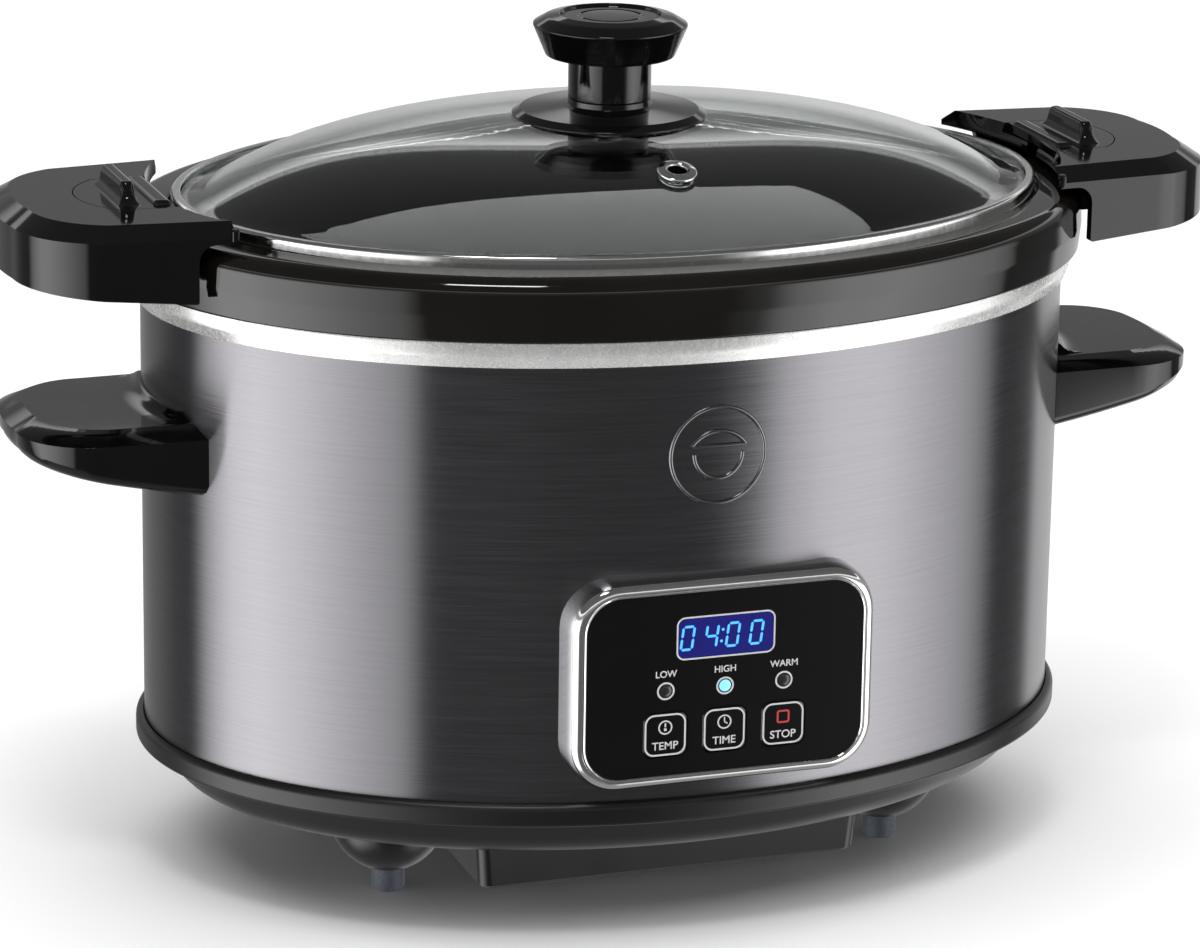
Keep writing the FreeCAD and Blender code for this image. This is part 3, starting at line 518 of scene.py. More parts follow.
shellLow, shellHigh = span("outer_shell")
wallX, wallY = shellHigh.x, shellHigh.y
bezelLow, bezelHigh = span("control_bezel")
panelMidZ = (bezelLow.z + bezelHigh.z) / 2
footNodes = ("foot_front_left", "foot_front_right", "foot_rear_left", "foot_rear_right")


def outerShell():
    look = {"thick": 0.8, "sides": 224, "openingIn": 5.5, "openingCorner": 8.0}
    path = [(0, shellLow.z), (0, shellHigh.z), (-look["thick"], shellHigh.z), (-look["thick"], shellLow.z)]
    shell = loft("shell_wall", ovalRings(wallX, wallY, path, look["sides"]), loop=True)
    outline = roundedBox(2 * (bezelHigh.x - look["openingIn"]),
                         bezelHigh.z - bezelLow.z - 2 * look["openingIn"],
                         look["openingCorner"])
    cut(shell, slab("opening", outline, 0, panelMidZ, -wallY * 1.2, -wallY * 0.6))
    return finishPiece(shell, "cooker_body", wall, "black_steel", "outer_shell")


def emblem():
    # an embossed ring around a covered bowl, pressed into the front of the wall
    look = {"up": 171.0, "across": -2.0, "ring": 16.5, "wide": 1.5, "proud": 0.55}
    parts = []

    def ridge(name, points, closed):
        wide, proud = look["wide"], look["proud"]
        rows = []
        count = len(points)
        for place, (x, z) in enumerate(points):
            before = points[place - 1] if closed or place else points[0]
            after = points[(place + 1) % count] if closed or place < count - 1 else points[-1]
            along = Vector((after[0] - before[0], after[1] - before[1])).normalized()
            side = Vector((-along.y, along.x))
            row = []
            for step in range(7):
                turn = math.pi * step / 6
                off = side * (wide / 2 * math.cos(turn))
                px, pz = x + off.x + look["across"], z + off.y + look["up"]
                py = -wallY * math.sqrt(1 - (px / wallX) ** 2)
                row.append((px, py + 0.25 - (proud + 0.25) * math.sin(turn), pz))
            rows.append(row)
        return loft(name, rows, not closed, not closed, closed)

    circle = [(look["ring"] * math.cos(2 * math.pi * s / 72), look["ring"] * math.sin(2 * math.pi * s / 72))
              for s in range(72)]
    parts.append(ridge("emblem_ring", circle, True))
    bowl = [(-8.5, 0.5)] + arcThrough((-8.5, 0.5), (0, -8.0), (8.5, 0.5), 24) + [(8.5, 0.5)]
    parts.append(ridge("emblem_bowl", bowl[1:], False))
    cover = arcThrough((-9.5, 3.2), (0, 8.2), (9.5, 3.2), 24) + [(9.5, 3.2)]
    parts.append(ridge("emblem_cover", cover, False))
    base = straight((-9.5, 3.2), (9.5, 3.2), 6) + [(9.5, 3.2)]
    parts.append(ridge("emblem_line", base, False))
    return finishPiece(joined("embossed_mark", parts), "cooker_body", wall, "black_steel")


def baseTray():
    low, high = span("base_tray")
    look = {"band": 8.0, "bandOut": high.x - wallX, "tierIn": 3.5, "tierLowIn": 14.5, "floorUp": 17.0,
            "sheet": 2.5,
            "bossRadius": 20.5, "bossDown": 3.0, "slots": 7, "slotPitch": 7.0, "slotX": 112.0}
    bandLow = high.z - look["band"]
    floorZ = low.z + look["floorUp"]
    out = look["bandOut"]
    corners = [(-34, floorZ, 0), (-look["tierLowIn"], floorZ, 20), (-look["tierIn"], bandLow, 1.2),
               (out, bandLow, 1.6), (out, high.z, 2.4), (0.25, high.z, 0.4), (0.25, high.z - 5, 0),
               (-3.2, high.z - 5, 0), (-look["tierLowIn"] - 1, floorZ + look["sheet"], 6),
               (-34, floorZ + look["sheet"], 0)]
    tray = loft("base_shell", ovalRings(wallX, wallY, roundedPath(corners, 7), 200))
    for footNode in footNodes:
        footLow, footHigh = span(footNode)
        clearSelection()
        middle = Vector(((footLow.x + footHigh.x) / 2, (footLow.y + footHigh.y) / 2, floorZ + 1))
        bpy.ops.mesh.primitive_uv_sphere_add(segments=64, ring_count=32, radius=look["bossRadius"] * mm,
                                             location=middle * mm)
        boss = bpy.context.object
        bpy.ops.object.transform_apply(location=True)
        bpy.ops.object.mode_set(mode="EDIT")
        bpy.ops.mesh.select_all(action="SELECT")
        bpy.ops.mesh.bisect(plane_co=(0, 0, (low.z - look["bossDown"]) * mm), plane_no=(0, 0, 1),
                            use_fill=True, clear_inner=True)
        bpy.ops.mesh.select_all(action="SELECT")
        bpy.ops.mesh.bisect(plane_co=(0, 0, (floorZ + 2) * mm), plane_no=(0, 0, 1), use_fill=True,
                            clear_outer=True)
        bpy.ops.object.mode_set(mode="OBJECT")
        weld(tray, boss)
    slot = roundedBox(26, 2.4, 1.1, 3)
    for side in (-1, 1):
        for row in range(look["slots"]):
            y = (row - (look["slots"] - 1) / 2) * look["slotPitch"]
            cut(tray, block("slot", slot, side * look["slotX"], y, floorZ - 4, floorZ + 6))
    return finishPiece(tray, "cooker_body", satin, "base_plastic", "base_tray")


def linerWell():
    low, high = span("heating_liner")
    look = {"sheet": 0.8, "rimLow": 11.0, "out": high.x - wallX, "mouthIn": 6.5, "floorIn": 18.5}
    rimLow = high.z - look["rimLow"]
    out, sheet = look["out"], look["sheet"]
    corners = [(-60, low.z + sheet, 0), (-look["floorIn"], low.z + sheet, 8), (-look["mouthIn"], high.z, 2.0),
               (out - 0.6, high.z, 3.6), (out, rimLow + 4.5, 5.0), (out - 1.6, rimLow, 0),
               (out - 1.6 - sheet, rimLow, 0), (out - sheet, rimLow + 4.5, 3.0),
               (out - 1.4, high.z - sheet, 2.0),
               (-look["mouthIn"] - sheet, high.z - sheet, 1.0), (-look["floorIn"] - sheet, low.z, 8),
               (-60, low.z, 0)]
    liner = loft("liner_well", ovalRings(wallX, wallY, roundedPath(corners, 6), 200))
    return finishPiece(liner, "cooker_body", rolled, "liner_metal", "heating_liner")


def undersideHousing():
    low, high = span("underside_housing")
    look = {"corner": 4.0, "draft": 2.2, "lip": 1.2, "sink": 3.3}
    sink = look["sink"]
    midY = (low.y + high.y) / 2
    wide, deep = high.x - low.x, high.y - low.y
    rings = []
    for inset, up in ((look["draft"] + look["lip"], low.z), (look["draft"], low.z + look["lip"]),
                      (1.2, high.z - 5), (0, high.z)):
        rings.append(lying(roundedBox(wide - 2 * inset, deep - 2 * inset, look["corner"]), 0, midY, up))
    housing = loft("housing_under", rings)
    screwLow, screwHigh = span("housing_screws")
    for x in (screwLow.x + 3, screwHigh.x - 3):
        for y in (screwLow.y + 3, screwHigh.y - 3):
            cut(housing, column("sink", sink, sink, low.z - 2, screwLow.z + 1.55, 32, x, y))
    return finishPiece(housing, "cooker_body", satin, "base_plastic", "underside_housing")


def rubberFeet():
    look = {"edgeIn": 2.2, "edge": 1.4, "pad": 10, "stud": 3.4}
    stud = look["stud"]
    for node in footNodes:
        low, high = span(node)
        padTop = low.z + look["pad"]
        x, y = (low.x + high.x) / 2, (low.y + high.y) / 2
        radius = (high.x - low.x) / 2
        corners = [(radius - look["edgeIn"], low.z, 0), (radius, low.z, look["edge"]), (radius, padTop, 0.5),
                   (stud, padTop, 0), (stud, high.z, 0)]
        rings = ovalRings(0, 0, roundedPath(corners, 5), 48, x, y)
        foot = loft(node + "_pad", rings)
        finishPiece(foot, "cooker_body", rubber, "foot_rubber", node)


outerShell()
emblem()
baseTray()
linerWell()
undersideHousing()
rubberFeet()
print("body done")


# crock and lid

crockLow, crockHigh = span("crock")
rimOut = crockHigh.y - wallY
linerHigh = span("heating_liner")[1].z
ringLow, ringHigh = span("lid_ring")
lidX, lidY = ringHigh.x, ringHigh.y


def crockPot():
    look = {"mouth": 13.4, "floorWall": 26.0, "outerTop": 8.7, "outerLow": 20.5, "floor": 6.5, "lugY": 38.0,
            "hang": 2.2}
    recessOut = lidX + 1.5 - wallX
    recessZ = ringLow.z - 0.3
    rimLow = linerHigh + 0.3
    top = crockHigh.z
    corners = [(-60, crockLow.z, 0), (-look["outerLow"], crockLow.z, 14), (-look["outerTop"], rimLow, 0.6),
               (3.4, rimLow, 0), (3.8, rimLow - look["hang"], 0.4),
               (rimOut - 0.9, rimLow - look["hang"], 1.2),
               (rimOut, rimLow + 7, 9.0), (rimOut - 0.6, top - 0.6, 6.0),
               (recessOut, top, 1.0), (recessOut, recessZ, 0.5), (-look["mouth"], recessZ, 0.8),
               (-look["floorWall"], crockLow.z + look["floor"], 16), (-60, crockLow.z + look["floor"], 0)]
    pot = loft("crock_bowl", ovalRings(wallX, wallY, roundedPath(corners, 8), 208))
    lugLow = span("handle_retainer_left")[1].z + 0.2
    lug = roundedBox(2 * crockHigh.x, 2 * look["lugY"], 10)
    lugs = block("lugs", lug, 0, 0, lugLow, lugLow + 7.5)
    cut(lugs, column("hollow", wallX - 3, wallY - 3, lugLow - 5, lugLow + 12, 96))
    weld(pot, lugs)
    return finishPiece(pot, "crock", glaze, "crock_glaze", "crock")


glassHigh = span("lid_glass")[1]
domeShape = {"rise": 24.0, "flange": 0.955, "power": 3.4}
glassEdge = glassHigh.z - domeShape["rise"]


def glassUp(share):
    # height of the outer face at a share of the glass's half size; past the dome lies a flat flange
    fall = (share / domeShape["flange"]) ** domeShape["power"]
    return max(glassEdge, glassEdge + domeShape["rise"] * (1 - fall))


def lidGlass():
    look = {"thick": 4.0, "steps": 26, "first": 0.03, "hole": 4.4}
    steps, first = look["steps"], look["first"]
    shares = [first + (1 - first) * step / steps for step in range(steps + 1)]
    levels = [(share, glassUp(share)) for share in shares]
    levels += [(share, glassUp(share) - look["thick"]) for share in reversed(shares)]
    dome = loft("lid_dome", [ovalRing(glassHigh.x * share, glassHigh.y * share, up, 176) for share,
                             up in levels])
    ventLow, ventHigh = span("vent_grommet")
    ventY = (ventLow.y + ventHigh.y) / 2
    cut(dome, column("ventHole", look["hole"], look["hole"], glassEdge - 10, glassHigh.z + 5, 48, 0, ventY))
    return finishPiece(dome, "lid", glass, "lid_glass", "lid_glass")


def lidRing():
    low, high = ringLow.z, ringHigh.z
    corners = [(0, low, 1.0), (0, high, 1.4), (-3.4, high, 0.45), (-3.4, high - 1.0, 0.2),
               (-1.1, high - 1.0, 0.2),
               (-1.1, low + 1.2, 0.2), (-6.4, low + 1.2, 0.2), (-6.4, low, 0.3)]
    path = roundedPath(corners, 5, closed=True)
    ring = loft("lid_band", ovalRings(lidX, lidY, path, 200), loop=True)
    return finishPiece(ring, "lid", steelTrim, "chrome_trim", "lid_ring")


def ventEyelet():
    low, high = span("vent_grommet")
    look = {"bore": 3.2, "neck": 4.4, "proud": 1.7, "below": 5.6, "lean": 18.0}
    midY = (low.y + high.y) / 2
    outer = (high.x - low.x) / 2
    seat = glassUp(abs(midY) / glassHigh.y)
    top, bottom = seat + look["proud"], seat - look["below"]
    corners = [(look["bore"], bottom, 0.3), (look["bore"], top - 0.5, 1.2), (outer - 2.4, top, 0.8),
               (outer, top - 0.9, 0.8), (outer, seat - 0.2, 0.2), (look["neck"], seat - 0.2, 0),
               (look["neck"], bottom + 1.2, 0), (outer - 1, bottom + 1.2, 0.3), (outer - 1, bottom, 0.3)]
    lean = math.radians(look["lean"])
    rings = []
    for ring in ovalRings(0, 0, roundedPath(corners, 4, closed=True), 64, 0, midY):
        rings.append([(x, midY + (y - midY) * math.cos(lean) - (z - seat) * math.sin(lean),
                       seat + (y - midY) * math.sin(lean) + (z - seat) * math.cos(lean)) for x, y, z in ring])
    eyelet = loft("vent_eyelet", rings, loop=True)
    return finishPiece(eyelet, "lid", chrome, "chrome_trim", "vent_grommet")


def knobParts():
    knobLow, knobHigh = span("knob")
    baseHigh = span("knob_base")[1]
    look = {"stem": 14.4, "stemTall": 14.9, "gripLow": 22.4, "chamferDown": 3.6, "dish": 17.6, "disc": 16.4}
    stem = look["stem"]
    stemTop = knobLow.z + look["stemTall"]
    flange = baseHigh.x

    def onDome(radius, extra):
        return glassUp(radius / glassHigh.y) + extra

    corners = [(flange - 6, onDome(flange, -0.3), 0), (flange - 0.1, onDome(flange, -0.3), 0.2),
               (flange - 0.1, onDome(flange, 0.7), 0.5), (flange - 3.0, onDome(flange, 2.5), 0.6),
               (stem + 3.0, glassHigh.z + 3.4, 2.5), (stem + 0.2, baseHigh.z - 2.2, 0.3),
               (stem, baseHigh.z - 0.15, 0.15), (3, baseHigh.z - 0.15, 0)]
    base = loft("knob_flange", ovalRings(0, 0, roundedPath(corners, 6), 112))
    finishPiece(base, "lid", gloss, "gloss_handle", "knob_base")
    wide = knobHigh.x
    top = knobHigh.z
    corners = [(3, knobLow.z + 0.1, 0), (stem, knobLow.z + 0.1, 0.25), (stem, stemTop - 0.6, 1.0),
               (look["gripLow"], stemTop, 1.0), (wide, top - look["chamferDown"], 0.8),
               (wide - 4.5, top - 1.0, 6.0), (look["dish"], top, 0.5),
               (16.9, top - 1.6, 0.4), (3, top - 1.6, 0)]
    grip = loft("knob_grip", ovalRings(0, 0, roundedPath(corners, 6), 112))
    finishPiece(grip, "lid", gloss, "gloss_handle", "knob")
    insertHigh = span("knob_insert")[1]
    corners = [(look["disc"], top - 1.7, 0), (look["disc"], insertHigh.z + 0.3, 0.4),
               (11.5, insertHigh.z + 0.3, 0.3),
               (10.7, insertHigh.z - 0.1, 0.3), (9.9, insertHigh.z + 0.3, 0.3), (3, insertHigh.z + 0.5, 0)]
    disc = loft("knob_disc", ovalRings(0, 0, roundedPath(corners, 4), 96))
    finishPiece(disc, "lid", gloss, "gloss_handle", "knob_insert")


crockPot()
lidGlass()
lidRing()
ventEyelet()
knobParts()
print("crock and lid done")


# locking handles and latches

capHigh = span("lock_handle_right")[1]
latchLow, latchHigh = span("lid_latch_right")
capInner = lidX + 6.5
capPlan = {"tipBack": 12.5, "shoulderIn": 25.0, "shoulderY": 50.0, "endIn": 1.5, "endY": 18.0,
           "cornerOut": 0.68, "cornerBack": 0.66}


def capOutline(inset, innerInset=0.0, reach=0.0):
    # crescent seen from above; reach carries its inner edge straight inwards
    tip = (capInner - capPlan["tipBack"] - reach, capHigh.y - inset)
    shoulder = (capHigh.x - capPlan["shoulderIn"] - inset / 2, capPlan["shoulderY"] - inset)
    end = (capHigh.x - capPlan["endIn"] - inset, capPlan["endY"] - inset / 2)
    corner = (shoulder[0] + capPlan["cornerOut"] * (end[0] - shoulder[0]),
              end[1] + capPlan["cornerBack"] * (shoulder[1] - end[1]))
    points = straight(nearSide(tip), nearSide(shoulder), 8)
    points += arcThrough(nearSide(shoulder), nearSide(corner), nearSide(end), 14)
    points += arcThrough(nearSide(end), (capHigh.x - inset, 0), end, 12)
    points += arcThrough(end, corner, shoulder, 14)
    points += straight(shoulder, tip, 8)
    if reach:
        return points + straight(tip, nearSide(tip), 8)
    innerTip = (tip[0] + innerInset, tip[1])
    return points + arcThrough(innerTip, (capInner + innerInset, 0), nearSide(innerTip), 30)


def lockHandle():
    look = {"plate": 6.5, "sheet": 3.0, "chamferIn": 7.0, "chamferDown": 4.5, "innerChamfer": 2.2,
            "arch": 6.0,
            "inner": 26.5, "outer": 18.5, "drop": 34.0}
    top = capHigh.z
    under = top - look["plate"]
    outer = capOutline(0)
    handle = loft("lock_cap_right", [lying(outer, 0, 0, top - look["drop"]),
                                     lying(outer, 0, 0, top - look["chamferDown"]),
                                     lying(capOutline(look["chamferIn"], look["innerChamfer"]), 0, 0, top)])
    corners = [(capInner - 60, under, 0), (capInner, under, look["arch"]),
               (capInner, top - look["inner"], 0.8),
               (capHigh.x + 20, top - look["outer"] - 2, 0), (capHigh.x + 20, top - 90, 0),
               (capInner - 60, top - 90, 0)]
    below = roundedPath(corners, 8)
    cut(handle, loft("below", [[(x, side * 90, z) for x, z in below] for side in (-1, 1)]))
    hollow = capOutline(look["sheet"], 0.0, 12.0)
    cut(handle, block("hollow", hollow, 0, 0, top - 80, under))
    latchSides = latchOutline(0.35, 30)
    cut(handle, block("pocket", latchSides, 0, 0, top - 3.4, top + 5))
    slot = roundedBox(18.6, 10.6, 1.5, 3)
    cut(handle, block("slot", slot, latchLow.x + 8.5, 0, under - 3, top))
    soften(handle, 0.8, 3, 28)
    pinX = capInner - capPlan["tipBack"] + 0.4
    rings = []
    for inset, up in ((0.6, 0.0), (0.0, 0.7), (0.0, 4.0), (0.6, 4.7)):
        rings.append(lying(roundedBox(2.6 - inset, 2.6 - inset, 0.7, 3), pinX, -capHigh.y + 0.4,
                           under + 0.4 + up))
    weld(handle, loft("pin", rings))
    return handle


def latchOutline(grow, reach):
    side = latchHigh.y + grow
    inner = latchLow.x - reach
    outer = latchHigh.x + grow
    flat = outer - 11.0
    return (straight((inner, -side), (flat, -side), 4) + arcThrough((flat, -side), (outer, 0), (flat, side),
                                                                    24) +
            straight((flat, side), (inner, side), 4) + straight((inner, side), (inner, -side), 6))


def lidLatch():
    look = {"thick": 3.0, "finX": 14.5, "nose": 1.5}
    top = capHigh.z
    plate = block("latch_slide_right", latchOutline(0, 0), 0, 0, top - look["thick"], top)
    finX = capInner + look["finX"]
    finUp = latchHigh.z - top
    rings = []
    for halfY, halfX, up in ((21.0, 4.6, -0.5), (19.4, 3.6, 0.5), (17.4, 2.9, 1.5), (16.2, 2.6, 3.0),
                             (15.4, 2.45, 5.0),
                             (14.8, 2.3, finUp - 1.0), (14.2, 1.8, finUp - 0.3), (13.4, 1.0, finUp)):
        rings.append(lying(roundedBox(2 * halfX, 2 * halfY, halfX * 0.9, 5), finX, 0, top + up))
    weld(plate, loft("fin", rings))
    rings = []
    for inset, up in ((0.0, -0.5), (0.25, look["nose"] * 0.45), (0.9, look["nose"] * 0.85),
                      (1.9, look["nose"])):
        rings.append(lying(roundedBox(6.4 - 2 * inset, 40.0 - 2 * inset, 1.2, 4), latchLow.x + 3.2, 0,
                           top + up))
    weld(plate, loft("nose", rings))
    soften(plate, 0.35, 2, 42)
    return plate


handleRight = lockHandle()
handleLeft = mirroredCopy(handleRight, "lock_cap_left")
finishPiece(handleRight, "crock", gloss, "gloss_handle", "lock_handle_right", angle=25)
finishPiece(handleLeft, "crock", gloss, "gloss_handle", "lock_handle_left", angle=25)
latchRight = lidLatch()
latchLeft = mirroredCopy(latchRight, "latch_slide_left")
finishPiece(latchRight, "latch_right", gloss, "gloss_handle", "lid_latch_right")
finishPiece(latchLeft, "latch_left", gloss, "gloss_handle", "lid_latch_left")
print("locking handles done")


# carry handles

carryPlan = {"shoulderIn": 26.0, "endIn": 0.8, "endY": 12.0, "cornerIn": 0.22, "cornerY": 0.72,
             "rootIn": 23.0}


def carryOutline(inset):
    high = span("carry_handle_right")[1]
    tip = high.x - inset
    side = high.y - inset
    shoulder = (tip - carryPlan["shoulderIn"], side - 1)
    end = (tip - carryPlan["endIn"], carryPlan["endY"])
    corner = (tip - carryPlan["shoulderIn"] * carryPlan["cornerIn"], side * carryPlan["cornerY"])
    root = wallX - carryPlan["rootIn"]
    return (straight((root, -side), nearSide(shoulder), 12) + arcThrough(nearSide(shoulder),
                                                                         nearSide(corner), nearSide(end),
                                                                         14) +
            arcThrough(nearSide(end), (tip, 0), end, 8) + arcThrough(end, corner, shoulder, 14) +
            straight(shoulder, (root, side), 12) + straight((root, side), (root, -side), 6))


def carryHandle():
    high = span("carry_handle_right")[1]
    look = {"chamferIn": 7.5, "chamferDown": 4.0, "tip": 8.0, "root": 25.5, "ramp": 2.8, "rampLong": 10.0}
    top = high.z
    edge = top - look["chamferDown"]

    def lowEdge(x, lift):
        share = max(0.0, (x - (wallX - 17)) / (high.x - (wallX - 17)))
        return top - look["root"] + (look["root"] - look["chamferDown"] - look["tip"]) * share ** 1.25 + lift

    rings = [[(x, y, lowEdge(x, lift)) for x, y in carryOutline(inset)]
             for inset, lift in ((5.5, 0), (3.2, 0.5), (1.2, 2.0), (0, 4.5))]
    rings += [lying(carryOutline(0), 0, 0, edge), lying(carryOutline(look["chamferIn"]), 0, 0, top)]
    handle = loft("carry_grip_right", rings)
    # the top sweeps up to a thin lip against the wall
    lip = [(-4, top - 6), (-4, top + look["ramp"]), (1.0, top + look["ramp"]),
           (1.8, top + look["ramp"] - 0.4),
           (2.7, top + 1.6), (4.2, top + 0.8), (6.4, top + 0.35), (look["rampLong"], top - 0.05),
           (look["rampLong"], top - 6)]
    sweep = loft("sweep", ovalRings(wallX, wallY, [Vector(p) for p in lip], 224), loop=True)
    bound = [lying(carryOutline(look["chamferIn"] + more), 0, 0, top + up)
             for more, up in ((1.2, -3), (1.2, -0.2), (11, 5.5))]
    meet(sweep, loft("bound", bound))
    weld(handle, sweep)
    cut(handle, column("core", wallX + 0.05, wallY + 0.05, top - 60, top + 30, 224))
    soften(handle, 0.45, 3, 30)
    return handle


gripRight = carryHandle()
gripLeft = mirroredCopy(gripRight, "carry_grip_left")
finishPiece(gripRight, "cooker_body", gloss, "gloss_handle", "carry_handle_right", angle=28)
finishPiece(gripLeft, "cooker_body", gloss, "gloss_handle", "carry_handle_left", angle=28)
print("carry handles done")


# control panel

def controlPanel():
    look = {"corner": 17.5, "faceIn": 5.5, "faceCorner": 12.0, "key": 15.5, "keyHole": 16.1, "keyLine": 14.6}
    wide, tall = bezelHigh.x - bezelLow.x, bezelHigh.z - bezelLow.z
    front = bezelLow.y
    face = front + 1.0
    rows = [(0.0, -wallY + 9.0), (0.3, front + 6.0), (1.1, front + 3.2), (1.5, front + 2.2),
            (2.0, front + 1.5),
            (2.7, front + 0.95), (3.6, front + 0.6), (4.0, front + 0.5), (4.2, front + 1.0),
            (4.5, front + 1.0),
            (4.7, front + 0.35), (4.95, front + 0.2), (5.25, front + 0.35), (5.5, front + 0.9),
            (5.5, front + 4.0)]
    rings = []
    for inset, y in rows:
        rings.append(facing(roundedBox(wide - 2 * inset, tall - 2 * inset, look["corner"] - inset, 12), 0,
                            panelMidZ, y))
    frameRing = loft("panel_trim", rings, False, False)
    faceOutwards(frameRing)
    thick = frameRing.modifiers.new("thick", "SOLIDIFY")
    thick.thickness = 0.5 * mm
    thick.offset = -1
    applyAll(frameRing)
    finishPiece(frameRing, "cooker_body", chrome, "chrome_trim", "control_bezel", angle=50)

    faceWide, faceTall = wide - 2 * look["faceIn"], tall - 2 * look["faceIn"]
    outline = roundedBox(faceWide, faceTall, look["faceCorner"], 12)
    plate = slab("panel_face", outline, 0, panelMidZ, face + 2.5, face)
    windowLow, windowHigh = span("display_window")
    windowZ = (windowLow.z + windowHigh.z) / 2
    windowWide, windowTall = windowHigh.x - windowLow.x, windowHigh.z - windowLow.z
    window = roundedBox(windowWide, windowTall, 3.0)
    cut(plate, slab("hole", window, 0, windowZ, face + 4, face - 2))
    for key in ("temp", "time", "stop"):
        low, high = span("key_" + key)
        midX, midZ = (low.x + high.x) / 2, (low.z + high.z) / 2
        hole = roundedBox(look["keyHole"], look["keyHole"], 3.3)
        cut(plate, slab("hole", hole, midX, midZ, face + 4, face - 2))
    finishPiece(plate, "cooker_body", panelBlack, "panel_gloss", "control_fascia")

    lens = slab("display_glass", window, 0, windowZ, face + 2.5, face + 0.25)
    finishPiece(lens, "cooker_body", displayBack, "display_lens", "display_window")
    printed = [outlineBand("display_frame", windowWide, windowTall, 3.0, 0, windowZ, face, 0.55)]

    lampZ = None
    for lamp, lit in (("low", False), ("high", True), ("warm", False)):
        low, high = span("lamp_" + lamp)
        midX, lampZ = (low.x + high.x) / 2, (low.z + high.z) / 2
        corners = [(2.4, 4.0, 0), (2.4, 0.1, 0.5), (1.2, -0.25, 0.6), (0.4, -0.3, 0)]
        rings = []
        for radius, back in roundedPath(corners, 4):
            rings.append(facing([(radius * math.cos(math.tau * s / 40), radius * math.sin(math.tau * s / 40))
                                 for s in range(40)], midX, lampZ, face + back))
        bead = loft("lamp_bead_" + lamp, rings)
        finishPiece(bead, "cooker_body", lampOn if lit else lampOff, "lamp_lit" if lit else "lamp_lens",
                    "lamp_" + lamp)
        printed.append(outlineBand("lamp_ring_" + lamp, 6.2, 6.2, 3.09, midX, lampZ, face, 0.6))

    keyPrints = {}
    for key in ("temp", "time", "stop"):
        low, high = span("key_" + key)
        midX, midZ = (low.x + high.x) / 2, (low.z + high.z) / 2
        size = look["key"]
        rings = []
        for inset, back in ((0, 3.4), (0, 0.15), (0.25, -0.1), (1.0, -0.18)):
            rings.append(facing(roundedBox(size - 2 * inset, size - 2 * inset, 3.2 - inset * 0.5), midX,
                                midZ, face + back))
        cap = loft("key_cap_" + key, rings)
        finishPiece(cap, key + "_key", panelBlack, "panel_gloss", "key_" + key)
        keyFace = face - 0.18
        keyPrints[key] = [outlineBand("key_line_" + key, look["keyLine"], look["keyLine"], 3.4, midX, midZ,
                                      keyFace, 0.6)]
        if key == "stop":
            icon = outlineBand("stop_icon", 4.6, 4.6, 1.0, midX, midZ + 2.4, keyFace, 0.65)
            finishPiece(icon, key + "_key", legendRed, "panel_gloss")
        else:
            keyPrints[key].append(outlineBand("icon_ring_" + key, 5.0, 5.0, 2.49, midX, midZ + 2.6, keyFace,
                                              0.5))
            strokes = {"temp": [((0, 0.1), (0, 1.5), 0.55), ((-0.45, -0.75), (0.45, -0.75), 0.9)],
                       "time": [((0, 0), (0, 1.6), 0.4), ((0, 0), (1.1, -0.7), 0.4)]}[key]
            for start, end, thickLine in strokes:
                keyPrints[key].append(stroke("icon_stroke", start, end, thickLine, midX, midZ + 2.6, keyFace))
        keyPrints[key].append(label(key.upper(), 3.1, midX, midZ - 4.0, keyFace))
        whole = joined("key_print_" + key, keyPrints[key])
        finishPiece(whole, key + "_key", legend, "panel_gloss")
    for word, lamp in (("LOW", "low"), ("HIGH", "high"), ("WARM", "warm")):
        low, high = span("lamp_" + lamp)
        printed.append(label(word, 2.6, (low.x + high.x) / 2, lampZ + 5.8, face))
    finishPiece(joined("panel_print", printed), "cooker_body", legend, "panel_gloss")
    digits(windowZ, face + 0.25)


def outlineBand(name, wide, tall, corner, midX, midZ, face, line):
    # a thin printed line, just proud of the face
    steps = 9
    outer = roundedBox(wide, tall, corner, steps)
    inner = roundedBox(wide - 2 * line, tall - 2 * line, max(corner - line, 0.2), steps)
    rings = [facing(outer, midX, midZ, face + 0.02), facing(outer, midX, midZ, face - 0.05),
             facing(inner, midX, midZ, face - 0.05), facing(inner, midX, midZ, face + 0.02)]
    return loft(name, rings, loop=True)


def stroke(name, start, end, line, midX, midZ, face):
    along = Vector((end[0] - start[0], end[1] - start[1]))
    side = Vector((-along.y, along.x)).normalized() * line / 2
    first, last = Vector(start), Vector(end)
    points = [tuple(first + side), tuple(first - side), tuple(last - side), tuple(last + side)]
    return slab(name, points, midX, midZ, face + 0.02, face - 0.05)


def label(word, tall, midX, midZ, face):
    clearSelection()
    bpy.ops.object.text_add(location=(midX * mm, (face + 0.02) * mm, (midZ - tall * 0.36) * mm),
                            rotation=(math.pi / 2, 0, 0))
    text = bpy.context.object
    text.data.body = word
    text.data.align_x = "CENTER"
    text.data.size = tall * 1.25 * mm
    text.data.offset = 0.04 * mm
    text.data.extrude = 0.06 * mm
    bpy.ops.object.convert(target="MESH")
    text = bpy.context.object
    bpy.ops.object.transform_apply(location=True, rotation=True, scale=True)
    bpy.ops.object.mode_set(mode="EDIT")
    bpy.ops.mesh.select_all(action="SELECT")
    bpy.ops.mesh.remove_doubles(threshold=1e-6)
    bpy.ops.mesh.normals_make_consistent(inside=False)
    bpy.ops.object.mode_set(mode="OBJECT")
    return text


